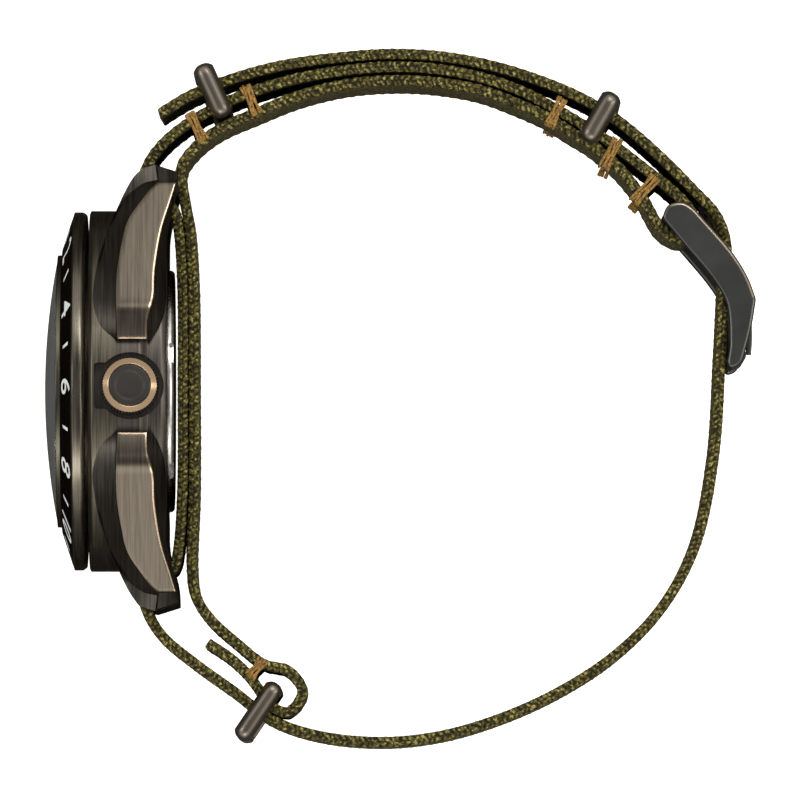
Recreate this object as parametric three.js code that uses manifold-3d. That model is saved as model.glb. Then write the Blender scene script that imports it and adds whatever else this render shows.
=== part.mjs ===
// A wristwatch with a turning 24 hour bezel, on a closed fabric pass-through strap.
// Millimetres, +Z up. The watch lies on its 9 o'clock flank: +Z runs out of the crown,
// -X runs out of the dial and +Y points to 12 o'clock. The origin is the middle of the
// flat on the 9 o'clock flank.
import * as THREE from "three";
import { mergeVertices } from "three/addons/utils/BufferGeometryUtils.js";
import Module from "manifold-3d";

const wasm = await Module();
wasm.setup();

// ---------- driving sizes ----------
// Gaps and fits
const seatGap = 0.3; // between pieces that sit on each other
const runGap = 0.1; // radial play of a shaft in its hole
const pressGap = 0.05; // radial room left where a piece is pressed in

const strapWidth = 22;

// Case, measured along the dial axis from the crown's axis, towards the dial
const flankHeight = 22; // dial axis above the flat of the 9 o'clock flank
const caseRadius = 21.6;
const deckLevel = 5;
const deckChamfer = 0.5;
const backLevel = -4.17;
const undercut = 0.8;
const neckRadius = 16;
const neckTop = 8.8;
const neckWall = 0.55;
const movementBore = 13.4;
const dialSeat = 3.7;
const lugGap = strapWidth + 0.2; // clear width between a pair of lugs
const lugChannelRadius = 21.2; // case wall that the strap passes
const springBarReach = 24.1; // spring bar's distance from the dial axis
const springBarLevel = -3.6;
const springBarRadius = 0.75;

// Bezel
const bezelRadius = 21.05;
const bezelTop = 6.8; // where its side wall ends
const bezelSlope = 0.33; // rise of the insert for each mm towards the middle
const bezelRim = 0.35;
const insertThickness = 0.6;
const insertInner = 16.6;
const clickRingInner = 18.2;
const clickRingOuter = 20;
const clickRingThickness = 0.2;

// Crystal and dial
const crystalRise = 10.3;
const crystalEdge = 8.9;
const crystalUnder = 7.4;
const gasketWall = 0.3;
const dialRadius = 13.1;
const dialThickness = 0.4;
const chapterInner = 12.8;
const chapterTopInner = 14.2;

// Hands, from the centre of the dial
const handThickness = 0.15;
const handPitch = 0.4; // height from one hand to the next
const gmtHandLength = 11.4;
const hourHandLength = 8;
const minuteHandLength = 11.6;
const secondHandLength = 12.2;

// Movement
const plateRadius = 12.6;
const plateBottom = 0.9;
const plateTop = 2.1;
const plateRim = 0.3;
const bridgeTop = -1.5;
const bridgeThickness = 0.6;
const trainDistance = 5.94; // from the dial axis to the third and escape wheels
const barrelDistance = 6.48;
const wheelThickness = 0.2;
const arborRadius = 0.2;
const centerTeeth = 48;
const thirdPinionTeeth = 6;
const thirdTeeth = 45;
const fourthPinionTeeth = 6;
const fourthTeeth = 60;
const escapePinionTeeth = 6;
const escapeTeeth = 18;
const escapeRadius = 2.2;
const barrelTeeth = 60;
const centerPinionTeeth = 10;
const motionDistance = 3.84; // from the dial axis to the minute wheel
const cannonTeeth = 12;
const minuteTeeth = 36;
const minutePinionTeeth = 10;
const hourTeeth = 40;
const gmtPinionTeeth = 6;
const gmtTeeth = 48;
const balanceRadius = 3;
const balanceAt = [-7.2, -5.2];
const palletAt = [-6.5, -2.9];
const rotorRadius = 12.4;
const rotorLevel = -2.4;

// Crown and stem
const crownRadius = 3.35;
const crownTip = 24.4;
const crownFoot = 20.4;
const crownPocketFloor = 19.9;
const crownPocketRadius = crownRadius + 0.55;
const pocketHalf = 2.7; // half width of the pocket's squared part on the dial side
const crownFlutes = 30;
const fluteDepth = 0.12;
const stemRadius = 0.6;
const stemInner = 7.4;
const squareHalf = 0.38; // half the width of the stem's square
const clutchRadius = 1.15;
const clutchFrom = 9.2;
const clutchTo = 10.9;
const tubeRadius = 1.3;

// Case back
const backCoverRadius = 14.2;
const backCoverFace = -4.95;
const backCoverInner = -3.7;
const openerNotch = 2.3;

// Strap and its metal
const strapThickness = 1.05;
const tongueWidth = 2;
const tongueThickness = 0.8;
const tongueSwing = 8; // degrees that the tongue can lift in its eyelet
const hingeAt = [63.75, 19.7];
const hingeBarRadius = 1;
const outerBarAt = [70.9, 3.9];
const outerBarRadius = 0.95;
const railThickness = 1.7;
const keeperBar = 0.75;
const keeperSide = 1.3;
const keeperSideGap = 0.5;
const keeperRound = 1;

// Sides of a round piece: the case and its rings, and pieces under 15 mm across
const largeRound = 44;
const smallRound = 24;

// ---------- materials ----------
const finish = (color, roughness, metalness, opacity = 1) =>
  new THREE.MeshStandardMaterial({ color, roughness, metalness, opacity, transparent: opacity < 1 });
const gunmetal = finish("#35312d", 0.32, 0.9);
const insertBlack = finish("#26201b", 0.45, 0.3);
const steel = finish("#a9aaa8", 0.28, 1);
const brass = finish("#b8975a", 0.35, 1);
const springSteel = finish("#7c7f84", 0.3, 1);
const sapphire = finish("#a6b4bc", 0.05, 0, 0.35);
const rubber = finish("#141414", 0.8, 0);
const dialBlack = finish("#0d0e10", 0.5, 0.1);
const handWhite = finish("#dfe3e2", 0.35, 0.3);
const gmtRed = finish("#b3432a", 0.4, 0.1);
const nylon = finish("#4c4a24", 0.9, 0);
const darkSteel = finish("#3a3c3c", 0.35, 0.95);

// ---------- shape helpers ----------
// A closed geometry as a manifold solid.
const solid = (geometry) => {
  const bare = geometry.index ? geometry.toNonIndexed() : geometry.clone();
  bare.deleteAttribute("normal");
  bare.deleteAttribute("uv");
  const merged = mergeVertices(bare, 1e-5);
  return new wasm.Manifold(
    new wasm.Mesh({
      numProp: 3,
      vertProperties: new Float32Array(merged.attributes.position.array),
      triVerts: new Uint32Array(merged.index.array),
    }),
  );
};

// A manifold solid as a three.js mesh of the given name and finish.
const mesh = (name, shape, material) => {
  const data = shape.getMesh();
  const geometry = new THREE.BufferGeometry();
  geometry.setAttribute("position", new THREE.BufferAttribute(data.vertProperties, 3));
  geometry.setIndex(new THREE.BufferAttribute(data.triVerts, 1));
  const made = new THREE.Mesh(geometry, material);
  made.name = name;
  return made;
};

// A prism of an outline [x, y] between two heights.
const prism = (points, low, high) => {
  const outline = new THREE.Shape(points.map(([x, y]) => new THREE.Vector2(x, y)));
  const geometry = new THREE.ExtrudeGeometry(outline, { depth: high - low, bevelEnabled: false });
  return solid(geometry.translate(0, 0, low));
};

// A body of revolution about Z from a closed profile of [radius, height].
const turned = (profile, steps) => {
  const loop = [...profile, profile[0]].map(([r, z]) => new THREE.Vector2(r, z));
  return solid(new THREE.LatheGeometry(loop, steps).rotateX(Math.PI / 2));
};

const disc = (radius, low, high, steps = smallRound, at = [0, 0]) =>
  solid(
    new THREE.CylinderGeometry(radius, radius, high - low, steps)
      .rotateX(Math.PI / 2)
      .translate(at[0], at[1], (low + high) / 2),
  );

const ring = (inner, outer, low, high, steps = smallRound) =>
  turned([[inner, low], [outer, low], [outer, high], [inner, high]], steps);

const block = (x0, x1, y0, y1, z0, z1) =>
  solid(
    new THREE.BoxGeometry(x1 - x0, y1 - y0, z1 - z0)
      .translate((x0 + x1) / 2, (y0 + y1) / 2, (z0 + z1) / 2),
  );

// A round rod along X.
const rodX = (radius, from, to, steps = 24) =>
  solid(
    new THREE.CylinderGeometry(radius, radius, to - from, steps)
      .rotateZ(Math.PI / 2)
      .translate((from + to) / 2, 0, 0),
  );

const union = (first, ...rest) => rest.reduce((sum, next) => sum.add(next), first);

const polar = (radius, angle) => [radius * Math.cos(angle), radius * Math.sin(angle)];

// A solid skinned over rings of [x, y, z] points, all with the same count and order;
// the ends are closed with faces worked out in the Y-Z plane.
const lofted = (rings) => {
  const count = rings[0].length;
  const corners = rings.flat().flat();
  const faces = [];
  for (let r = 0; r < rings.length - 1; r += 1) {
    for (let k = 0; k < count; k += 1) {
      const a = r * count + k;
      const b = r * count + ((k + 1) % count);
      faces.push(a, b, b + count, a, b + count, a + count);
    }
  }
  // Triangles of an end, turned the way its own points run.
  const cap = (points) => {
    const flat = points.map(([, y, z]) => new THREE.Vector2(y, z));
    const turnedBack = THREE.ShapeUtils.isClockWise(flat);
    const order = turnedBack ? [...flat].reverse() : flat;
    const back = (k) => (turnedBack ? count - 1 - k : k);
    return THREE.ShapeUtils.triangulateShape(order, []).map(([a, b, c]) =>
      (turnedBack ? [back(c), back(b), back(a)] : [a, b, c]));
  };
  const last = (rings.length - 1) * count;
  for (const [a, b, c] of cap(rings[0])) faces.push(a, c, b);
  for (const [a, b, c] of cap(rings.at(-1))) faces.push(last + a, last + b, last + c);
  const geometry = new THREE.BufferGeometry();
  geometry.setAttribute("position", new THREE.Float32BufferAttribute(corners, 3));
  geometry.setIndex(faces);
  const made = solid(geometry);
  if (made.volume() > 0) return made;
  geometry.setIndex(faces.map((_, i) => faces[i - (i % 3) + (2 - (i % 3))]));
  return solid(geometry);
};

// ---------- case ----------
// One flank, from the crown's gap out to a lug tip: its outer face, the wider outline
// where its facets meet the case, and its root inside the case. Each row is
// [along the case, outer height, root along, root height, root half width].
const flankRows = [
  [5.6, 1.5, 5.3, 1.8, 20.6],
  [7.8, 1.8, 7.4, 3.7, 20.1],
  [10.1, 1.9, 11, 4.4, 18.4],
  [14.5, 1.6, 15.7, 3.5, 15.4],
  [18.9, 0.3, 18.9, 2.4, 14.8],
  [22, -1.4, 22.6, 0.9, 14.4],
  [24.2, -2.4, 25.2, -0.7, 14.1],
  [25, -3.2, 26.05, -2.8, 13.9],
  [25, -4.2, 26.05, -4.5, 13.9],
  [24.2, -4.9, 24.8, -5.5, 14],
  [23.4, -5, 23, -5.5, 14.2],
  [19.5, -3.6, 19.4, -4.3, 14.8],
  [15.7, -2.8, 15.7, -4.1, 15.2],
  [9.8, -2.4, 9.8, -4.1, 18.6],
  [6.3, -2, 5.8, -3, 20.2],
  [5.6, -1.4, 5.3, -1.8, 20.6],
];
const guardHalfWidth = 22.3;
const guardStart = 9;
const guardRoll = 0.35;
const lugTipHalfWidth = 15.5;
const lugTipReach = 25.7;

// Half width of the case seen from the dial, along its length.
const planHalfWidth = (along, widest) => {
  if (along < guardStart) return widest - guardRoll * (1 - along / guardStart);
  const share = (along - guardStart) / (lugTipReach - guardStart);
  return widest + (lugTipHalfWidth - widest) * share;
};

const flank = (side, end, widest) => {
  const place = (across, along, height) => [side * across, end * along, height];
  const outer = flankRows.map(([y, z]) => place(planHalfWidth(y, widest), y, z));
  const root = flankRows.map(([, , y, z, x]) => place(x, y, z));
  const inner = flankRows.map(([, , y, z]) => place(lugGap / 2, y, z));
  return lofted([outer, root, inner]);
};

const caseShell = () => {
  const shell = turned(
    [
      [movementBore, backLevel + 0.4],
      [movementBore + 0.6, backLevel + 0.4],
      [movementBore + 0.6, backLevel],
      [caseRadius - undercut - 0.4, backLevel],
      [caseRadius - undercut, backLevel + 0.5],
      [caseRadius - undercut, -2],
      [caseRadius, -1.2],
      [caseRadius, deckLevel - deckChamfer],
      [caseRadius - 1.3 * deckChamfer, deckLevel],
      [neckRadius, deckLevel],
      [neckRadius, neckTop],
      [neckRadius - neckWall, neckTop],
      [neckRadius - neckWall, dialSeat],
      [movementBore, dialSeat],
    ],
    largeRound,
  );
  return shell;
};

const caseBody = () => {
  const leftFlat = prism(
    [[-flankHeight, -9], [-flankHeight, 9], [-flankHeight + 2.6, 11], [-flankHeight + 2.6, -11]],
    -2.2, 2.2);
  let body = union(
    caseShell(),
    flank(1, 1, guardHalfWidth),
    flank(1, -1, guardHalfWidth),
    flank(-1, 1, flankHeight),
    flank(-1, -1, flankHeight),
    leftFlat,
  );
  const hollow = disc(movementBore, backLevel - 2, dialSeat, largeRound)
    .add(disc(neckRadius - neckWall, dialSeat, neckTop + 1, largeRound))
    .add(disc(movementBore + 0.6, backLevel - 2, backLevel + 0.4, largeRound));
  body = body.subtract(hollow);
  for (const end of [1, -1]) {
    const channel = block(-lugGap / 2, lugGap / 2, 15, 30, -9, 9).subtract(
      disc(lugChannelRadius, -10, 10, largeRound));
    body = body.subtract(end > 0 ? channel : channel.rotate([0, 0, 180]));
    const barHole = rodX(springBarRadius + runGap, -lugGap / 2 - 2, lugGap / 2 + 2, 16);
    body = body.subtract(barHole.translate([0, end * springBarReach, springBarLevel]));
  }
  const pocket = rodX(crownPocketRadius, crownPocketFloor, 30, 40);
  const pocketFront = block(crownPocketFloor, 30, -pocketHalf, pocketHalf, 0, deckLevel - 0.8);
  const tubeHole = rodX(tubeRadius + pressGap, movementBore - 2, 30, 24);
  return body.subtract(pocket).subtract(pocketFront).subtract(tubeHole);
};

// ---------- bezel ----------
const slopeLevel = (radius) => bezelTop + (bezelRadius - radius) * bezelSlope;

const bezelRing = () => {
  const bottom = deckLevel + seatGap;
  const bore = neckRadius + 0.15;
  const seat = insertThickness + runGap;
  return turned(
    [
      [bore, bottom + 0.4],
      [clickRingInner - runGap, bottom + 0.4],
      [clickRingInner - runGap, bottom + 0.8],
      [clickRingOuter + runGap, bottom + 0.8],
      [clickRingOuter + runGap, bottom],
      [bezelRadius - 0.35, bottom],
      [bezelRadius, bottom + 0.6],
      [bezelRadius, bezelTop],
      [bezelRadius - bezelRim, slopeLevel(bezelRadius - bezelRim)],
      [bezelRadius - bezelRim, slopeLevel(bezelRadius - bezelRim) - seat],
      [insertInner - runGap, slopeLevel(insertInner) - seat],
      [insertInner - runGap, slopeLevel(insertInner)],
      [bore, slopeLevel(bore) - 0.1],
    ],
    largeRound,
  );
};

const bezelInsert = () => {
  const outer = bezelRadius - bezelRim - runGap;
  return turned(
    [
      [insertInner, slopeLevel(insertInner) - insertThickness],
      [outer, slopeLevel(outer) - insertThickness],
      [outer, slopeLevel(outer)],
      [insertInner, slopeLevel(insertInner)],
    ],
    largeRound,
  );
};

// Click ring under the bezel, with two notches where its tabs are bent.
const clickRing = () => {
  const low = deckLevel + seatGap;
  const body = ring(clickRingInner, clickRingOuter, low, low + clickRingThickness, largeRound);
  const notch = block(clickRingOuter - 0.7, clickRingOuter + 1, -1.5, 1.5, low - 1, low + 2);
  return body.subtract(notch).subtract(notch.rotate([0, 0, 180]));
};

// ---------- crystal, chapter ring and dial ----------
const crystalRadius = neckRadius - neckWall - gasketWall - 2 * pressGap;

const crystal = () => {
  const dome = 4;
  const profile = [[0, crystalUnder], [crystalRadius, crystalUnder], [crystalRadius, crystalEdge]];
  for (let k = 1; k <= dome; k += 1) {
    const share = 1 - k / dome;
    const height = crystalEdge + (crystalRise - crystalEdge) * (1 - share ** 2);
    profile.push([crystalRadius * share, height]);
  }
  return turned(profile.slice(0, -1).concat([[0, crystalRise]]), largeRound);
};

const crystalGasket = () =>
  ring(crystalRadius + pressGap, crystalRadius + pressGap + gasketWall, crystalUnder, neckTop, largeRound);

const chapterRing = () => {
  const low = dialSeat + seatGap;
  const outer = neckRadius - neckWall - 0.2;
  return turned(
    [[chapterInner, low], [outer, low], [outer, crystalUnder - seatGap],
      [chapterTopInner, crystalUnder - seatGap]],
    largeRound,
  );
};

// Tubes that carry the hands, one inside the next.
const centerTube = { inner: arborRadius + runGap, outer: 0.55 };
const cannonTube = { inner: centerTube.outer + runGap, outer: 0.88 };
const hourTube = { inner: cannonTube.outer + runGap, outer: 1.22 };
const gmtTube = { inner: hourTube.outer + runGap, outer: 1.56 };
const dialTop = dialSeat - 0.1;

const dial = () => ring(gmtTube.outer + 0.15, dialRadius, dialTop - dialThickness, dialTop, largeRound);

// A flat hand on a hub: a tapered blade with a short tail, pointing to 12 o'clock.
const hand = (hubRadius, bore, level, reach, width, tail) => {
  const blade = prism(
    [[-width / 2, -tail], [width / 2, -tail], [width / 2, reach * 0.75], [0, reach],
      [-width / 2, reach * 0.75]],
    level, level + handThickness);
  return disc(hubRadius, level, level + handThickness, 24)
    .add(blade)
    .subtract(disc(bore, level - 1, level + 1, 24));
};

const handLevel = (place) => dialTop + seatGap + place * handPitch;

// ---------- wheels ----------
// Pointed teeth round a pitch circle; one tooth stands at the given angle.
const toothAbove = 0.25;
const toothBelow = 0.5;

const gear = (teeth, pitchRadius, low, high, angle) => {
  const pitch = (2 * Math.PI) / teeth;
  const unit = (2 * pitchRadius) / teeth;
  const points = [];
  for (let k = 0; k < teeth; k += 1) {
    points.push(polar(pitchRadius + toothAbove * 2 * unit, angle + k * pitch));
    points.push(polar(pitchRadius - toothBelow * 2 * unit, angle + (k + 0.5) * pitch));
  }
  return prism(points, low, high);
};

// Pitch radii of a meshing pair, from the distance between their axes.
const pair = (distance, first, second) => [
  (distance * first) / (first + second),
  (distance * second) / (first + second),
];
const spaceAt = (angle, teeth) => angle + Math.PI / teeth;

const thirdAngle = Math.PI / 2;
const escapeAngle = Math.PI;
const barrelAngle = (-75 * Math.PI) / 180;
const minuteAngle = (50 * Math.PI) / 180;
const thirdAt = polar(trainDistance, thirdAngle);
const escapeAt = polar(trainDistance, escapeAngle);
const barrelAt = polar(barrelDistance, barrelAngle);
const minuteAt = polar(motionDistance, minuteAngle);

const [centerPitch, thirdPinionPitch] = pair(trainDistance, centerTeeth, thirdPinionTeeth);
const [thirdPitch, fourthPinionPitch] = pair(trainDistance, thirdTeeth, fourthPinionTeeth);
const [fourthPitch, escapePinionPitch] = pair(trainDistance, fourthTeeth, escapePinionTeeth);
const [barrelPitch, centerPinionPitch] = pair(barrelDistance, barrelTeeth, centerPinionTeeth);
const [cannonPitch, minutePitch] = pair(motionDistance, cannonTeeth, minuteTeeth);
const [minutePinionPitch, hourPitch] = pair(motionDistance, minutePinionTeeth, hourTeeth);
const [gmtPinionPitch, gmtPitch] = pair(motionDistance, gmtPinionTeeth, gmtTeeth);

// Heights of the wheels in the train, from the dial side down
const centerLevel = 0.5;
const centerPinionLow = 0.15;
const barrelLow = -0.3;
const barrelHigh = 0.38;
const thirdLevel = -0.5;
const fourthLevel = -0.85;
const escapeLevel = -1.3;
const arborLow = bridgeTop - bridgeThickness + 0.1;
const arborHigh = plateTop - 0.2;

const centerWheel = () =>
  gear(centerTeeth, centerPitch, centerLevel, centerLevel + wheelThickness, thirdAngle)
    .add(gear(centerPinionTeeth, centerPinionPitch, centerPinionLow, centerLevel + 0.05, barrelAngle))
    .add(disc(centerTube.outer, centerLevel, handLevel(2) - 0.6, 16))
    .subtract(disc(centerTube.inner, -5, 9, 16));

const thirdWheel = () =>
  union(
    disc(arborRadius, arborLow, arborHigh, 10),
    gear(thirdPinionTeeth, thirdPinionPitch, centerLevel - 0.1, plateBottom - 0.1,
      spaceAt(thirdAngle + Math.PI, thirdPinionTeeth)),
    gear(thirdTeeth, thirdPitch, thirdLevel, thirdLevel + wheelThickness, thirdAngle + Math.PI),
  ).translate([...thirdAt, 0]);

const fourthWheel = () =>
  union(
    disc(arborRadius, arborLow, handLevel(3) + handThickness, 10),
    gear(fourthPinionTeeth, fourthPinionPitch, thirdLevel - 0.05, thirdLevel + 0.35,
      spaceAt(thirdAngle, fourthPinionTeeth)),
    gear(fourthTeeth, fourthPitch, fourthLevel, fourthLevel + wheelThickness, escapeAngle),
  );

const escapeWheel = () => {
  const pitch = (2 * Math.PI) / escapeTeeth;
  const points = [];
  for (let k = 0; k < escapeTeeth; k += 1) {
    points.push(polar(escapeRadius, k * pitch));
    points.push(polar(escapeRadius * 0.8, (k + 0.25) * pitch));
  }
  return union(
    disc(arborRadius, arborLow, arborHigh, 10),
    gear(escapePinionTeeth, escapePinionPitch, fourthLevel - 0.05, fourthLevel + 0.35,
      spaceAt(escapeAngle + Math.PI, escapePinionTeeth)),
    prism(points, escapeLevel, escapeLevel + wheelThickness),
  ).translate([...escapeAt, 0]);
};

const barrel = () => {
  const tooth = spaceAt(barrelAngle + Math.PI, barrelTeeth);
  return gear(barrelTeeth, barrelPitch, barrelHigh - wheelThickness, barrelHigh, tooth)
    .add(disc(barrelPitch - 0.4, barrelLow, barrelHigh))
    .subtract(disc(barrelPitch - 0.7, barrelLow + 0.15, barrelHigh + 1))
    .subtract(disc(0.6 + runGap, -5, 5, 20))
    .translate([...barrelAt, 0]);
};

const barrelArbor = () =>
  union(
    disc(0.35, arborLow, arborHigh, 16),
    disc(0.6, barrelLow, barrelHigh, 20),
  ).translate([...barrelAt, 0]);

// The mainspring lies against the barrel's wall as a run-down coil.
const mainspring = () => {
  const outer = barrelPitch - 0.7 - 2 * runGap;
  return ring(outer - 1.6, outer, barrelLow + 0.2, barrelHigh - 0.02).translate([...barrelAt, 0]);
};

// The escapement: an anchor between the escape wheel and the balance.
const palletFork = () => {
  const [px, py] = palletAt;
  const low = escapeLevel;
  const high = low + wheelThickness;
  const reach = escapeRadius + 0.4;
  const towards = (angle) => {
    const [ax, ay] = polar(reach, angle);
    return [escapeAt[0] + ax, escapeAt[1] + ay];
  };
  const arm = (to, width) => {
    const length = Math.hypot(to[0] - px, to[1] - py);
    const angle = (Math.atan2(to[1] - py, to[0] - px) * 180) / Math.PI;
    return block(0, length, -width / 2, width / 2, low, high)
      .rotate([0, 0, angle])
      .translate([px, py, 0]);
  };
  return union(
    disc(0.15, arborLow, arborHigh, 10, palletAt),
    disc(0.4, low, high, 16, palletAt),
    arm(towards(-Math.PI / 2 - 0.75), 0.35),
    arm(towards(-Math.PI / 2 + 0.75), 0.35),
    arm([px - 0.2, py - 0.9], 0.25),
  );
};

const balanceWheel = () => {
  const low = -0.9;
  const high = -0.4;
  const rim = ring(balanceRadius - 0.4, balanceRadius, low, high);
  const spokes = block(-balanceRadius + 0.2, balanceRadius - 0.2, -0.15, 0.15, low + 0.15, high - 0.15);
  return union(rim, spokes, disc(0.15, arborLow, arborHigh, 10), disc(0.4, low, high, 16))
    .translate([...balanceAt, 0]);
};

const cannonPinion = () => {
  const level = plateTop + 0.1;
  return gear(cannonTeeth, cannonPitch, level, level + wheelThickness, minuteAngle)
    .add(disc(cannonTube.outer, level, handLevel(2) + handThickness, 20))
    .subtract(disc(cannonTube.inner, -5, 9, 16));
};

const minuteWheel = () => {
  const level = plateTop + 0.1;
  const back = minuteAngle + Math.PI;
  return union(
    gear(minuteTeeth, minutePitch, level, level + wheelThickness, spaceAt(back, minuteTeeth)),
    gear(minutePinionTeeth, minutePinionPitch, level, level + 0.55, back),
    disc(0.25, plateBottom + 0.3, level + 0.85, 10),
    gear(gmtPinionTeeth, gmtPinionPitch, level + 0.4, level + 0.85, back),
  ).translate([...minuteAt, 0]);
};

const hourWheel = () => {
  const level = plateTop + 0.4;
  return gear(hourTeeth, hourPitch, level, level + wheelThickness, spaceAt(minuteAngle, hourTeeth))
    .add(disc(hourTube.outer, level, handLevel(1) + handThickness, 20))
    .subtract(disc(hourTube.inner, -5, 9, 20));
};

const gmtWheel = () => {
  const level = plateTop + 0.7;
  return gear(gmtTeeth, gmtPitch, level, level + wheelThickness, spaceAt(minuteAngle, gmtTeeth))
    .add(disc(gmtTube.outer, level, handLevel(0) + handThickness, 24))
    .subtract(disc(gmtTube.inner, -5, 9, 20));
};

// ---------- plates ----------
const pivots = [
  [arborRadius, thirdAt], [arborRadius, escapeAt], [0.35, barrelAt], [0.15, palletAt],
  [0.15, balanceAt],
];

const cutPivots = (plate, low, high) =>
  pivots.reduce((cut, [radius, at]) => cut.subtract(disc(radius + runGap, low, high, 8, at)), plate);

const mainplate = () => {
  const plate = disc(plateRadius, plateBottom, plateTop, largeRound)
    .add(ring(plateRadius - plateRim, plateRadius, bridgeTop + 0.1, plateBottom + 0.1, largeRound))
    .subtract(disc(centerTube.outer + runGap, -5, 5, 20))
    .subtract(block(8, 14, -clutchRadius, clutchRadius, -3, clutchRadius + runGap))
    .subtract(disc(0.25 + runGap, plateBottom + 0.2, 5, 12, minuteAt));
  return cutPivots(plate, plateBottom - 1, arborHigh + 0.1);
};

// The balance's own bridge is cut out of the train bridge, with a gap between them.
const cockHalf = 0.42; // half the angle that the balance's bridge spans
const cockTip = 4.7;
const cockOutline = (tip, half, reach) => {
  const middle = Math.atan2(balanceAt[1], balanceAt[0]);
  const points = [polar(tip, middle)];
  for (let k = -2; k <= 2; k += 1) points.push(polar(reach, middle + (half / 2) * k));
  return points;
};

const trainBridge = () => {
  const low = bridgeTop - bridgeThickness;
  const bridge = disc(plateRadius - 0.1, low, bridgeTop, largeRound)
    .subtract(prism(cockOutline(cockTip - 2 * seatGap, cockHalf + 0.05, plateRadius + 1), low - 1,
      bridgeTop + 1))
    .subtract(disc(arborRadius + runGap, -5, 5, 12));
  return cutPivots(bridge, low - 1, bridgeTop + 1);
};

const balanceCock = () => {
  const low = bridgeTop - bridgeThickness;
  const cock = prism(cockOutline(cockTip, cockHalf, plateRadius + 1), low, bridgeTop);
  return cutPivots(cock.intersect(disc(plateRadius - 0.1, low, bridgeTop, largeRound)), low - 1,
    bridgeTop + 1);
};

const movementHolder = () =>
  ring(plateRadius + runGap, movementBore - runGap - pressGap, bridgeTop - 0.3,
    plateTop + 0.7, largeRound).subtract(rodX(stemRadius + 0.4, 10, 20, 20));

const rotorPost = () =>
  disc(0.7, rotorLevel - 0.7, bridgeTop - bridgeThickness - 0.05, 20)
    .add(disc(1.3, rotorLevel - 0.75, rotorLevel - 0.6, 24));

// Half disc with a heavy rim, turning on the post.
const rotor = () => {
  const sheet = disc(rotorRadius, rotorLevel - 0.45, rotorLevel, largeRound);
  const rim = ring(rotorRadius - 2, rotorRadius, rotorLevel - 1, rotorLevel, largeRound);
  const half = block(-20, 20, -20, 1.2, -6, 0);
  return union(sheet, rim)
    .intersect(half)
    .add(disc(2, rotorLevel - 0.45, rotorLevel, 24))
    .subtract(disc(0.7 + runGap, -6, 0, 20));
};

// ---------- crown and stem, along X ----------
const crown = () => {
  const points = [];
  for (let k = 0; k < crownFlutes; k += 1) {
    points.push(polar(crownRadius, ((k - 0.25) * 2 * Math.PI) / crownFlutes));
    points.push(polar(crownRadius, ((k + 0.25) * 2 * Math.PI) / crownFlutes));
    points.push(polar(crownRadius - fluteDepth, ((k + 0.5) * 2 * Math.PI) / crownFlutes));
  }
  const fluted = prism(points, crownFoot + 0.3, crownTip - 0.6);
  const ends = turned(
    [[0, crownFoot], [crownRadius - 0.3, crownFoot], [crownRadius - 0.13, crownFoot + 0.4],
      [crownRadius - 0.13, crownTip - 0.5], [crownRadius - 0.85, crownTip - 0.1],
      [crownRadius - 1.1, crownTip], [0, crownTip]],
    smallRound,
  );
  const socket = disc(tubeRadius + 0.4, crownFoot - 1, crownFoot + 1.6, 32);
  const stemHole = disc(stemRadius + pressGap, crownFoot, crownFoot + 2.4, 16);
  return union(fluted, ends).subtract(socket).subtract(stemHole).rotate([0, 90, 0]);
};

const windingStem = () => {
  const square = block(stemInner, clutchTo + 0.5, -squareHalf, squareHalf, -squareHalf, squareHalf);
  return rodX(stemRadius, clutchTo + 0.4, crownFoot + 2.3, 16).add(square);
};

const slidingPinion = () => {
  const half = squareHalf + pressGap;
  const body = rodX(clutchRadius - 0.3, clutchFrom, clutchTo, 20);
  const toothed = gear(14, clutchRadius - 0.2, 0, 0.5, 0).rotate([0, 90, 0]).translate([clutchFrom, 0, 0]);
  return body.add(toothed).subtract(block(0, 20, -half, half, -half, half));
};

const crownTube = () => {
  const outside = rodX(tubeRadius, movementBore + 0.4, crownFoot + 0.9, 24);
  return outside.subtract(rodX(stemRadius + runGap, 0, 30, 24));
};

const crownGasket = () =>
  disc(tubeRadius + 0.35, crownFoot + 0.1, crownFoot + 0.6, 24)
    .subtract(disc(tubeRadius + runGap, 0, 30, 24))
    .rotate([0, 90, 0]);

// ---------- case back ----------
const backCover = () => {
  const plug = movementBore - 0.2;
  const seat = backLevel - 0.08;
  const cover = turned(
    [[0, backCoverFace], [backCoverRadius - 0.3, backCoverFace], [backCoverRadius, backCoverFace + 0.3],
      [backCoverRadius, seat], [plug, seat], [plug, backCoverInner], [0, backCoverInner]],
    largeRound,
  );
  const notch = block(backCoverRadius - 0.9, backCoverRadius + 1, -openerNotch / 2, openerNotch / 2,
    backCoverFace - 1, seat - 0.2);
  let cut = cover;
  for (let k = 0; k < 6; k += 1) cut = cut.subtract(notch.rotate([0, 0, 17 + 60 * k]));
  return cut;
};

const backGasket = () =>
  ring(movementBore + 0.1, movementBore + 0.5, backLevel, backLevel + 0.3, largeRound);

// ---------- spring bars ----------
const springBar = (end) => {
  const half = lugGap / 2;
  const body = rodX(springBarRadius, -half + 0.4, half - 0.4, 16);
  const tips = rodX(springBarRadius - 0.3, -half - 1.2, half + 1.2, 12);
  return body.add(tips).translate([0, end * springBarReach, springBarLevel]);
};

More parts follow.
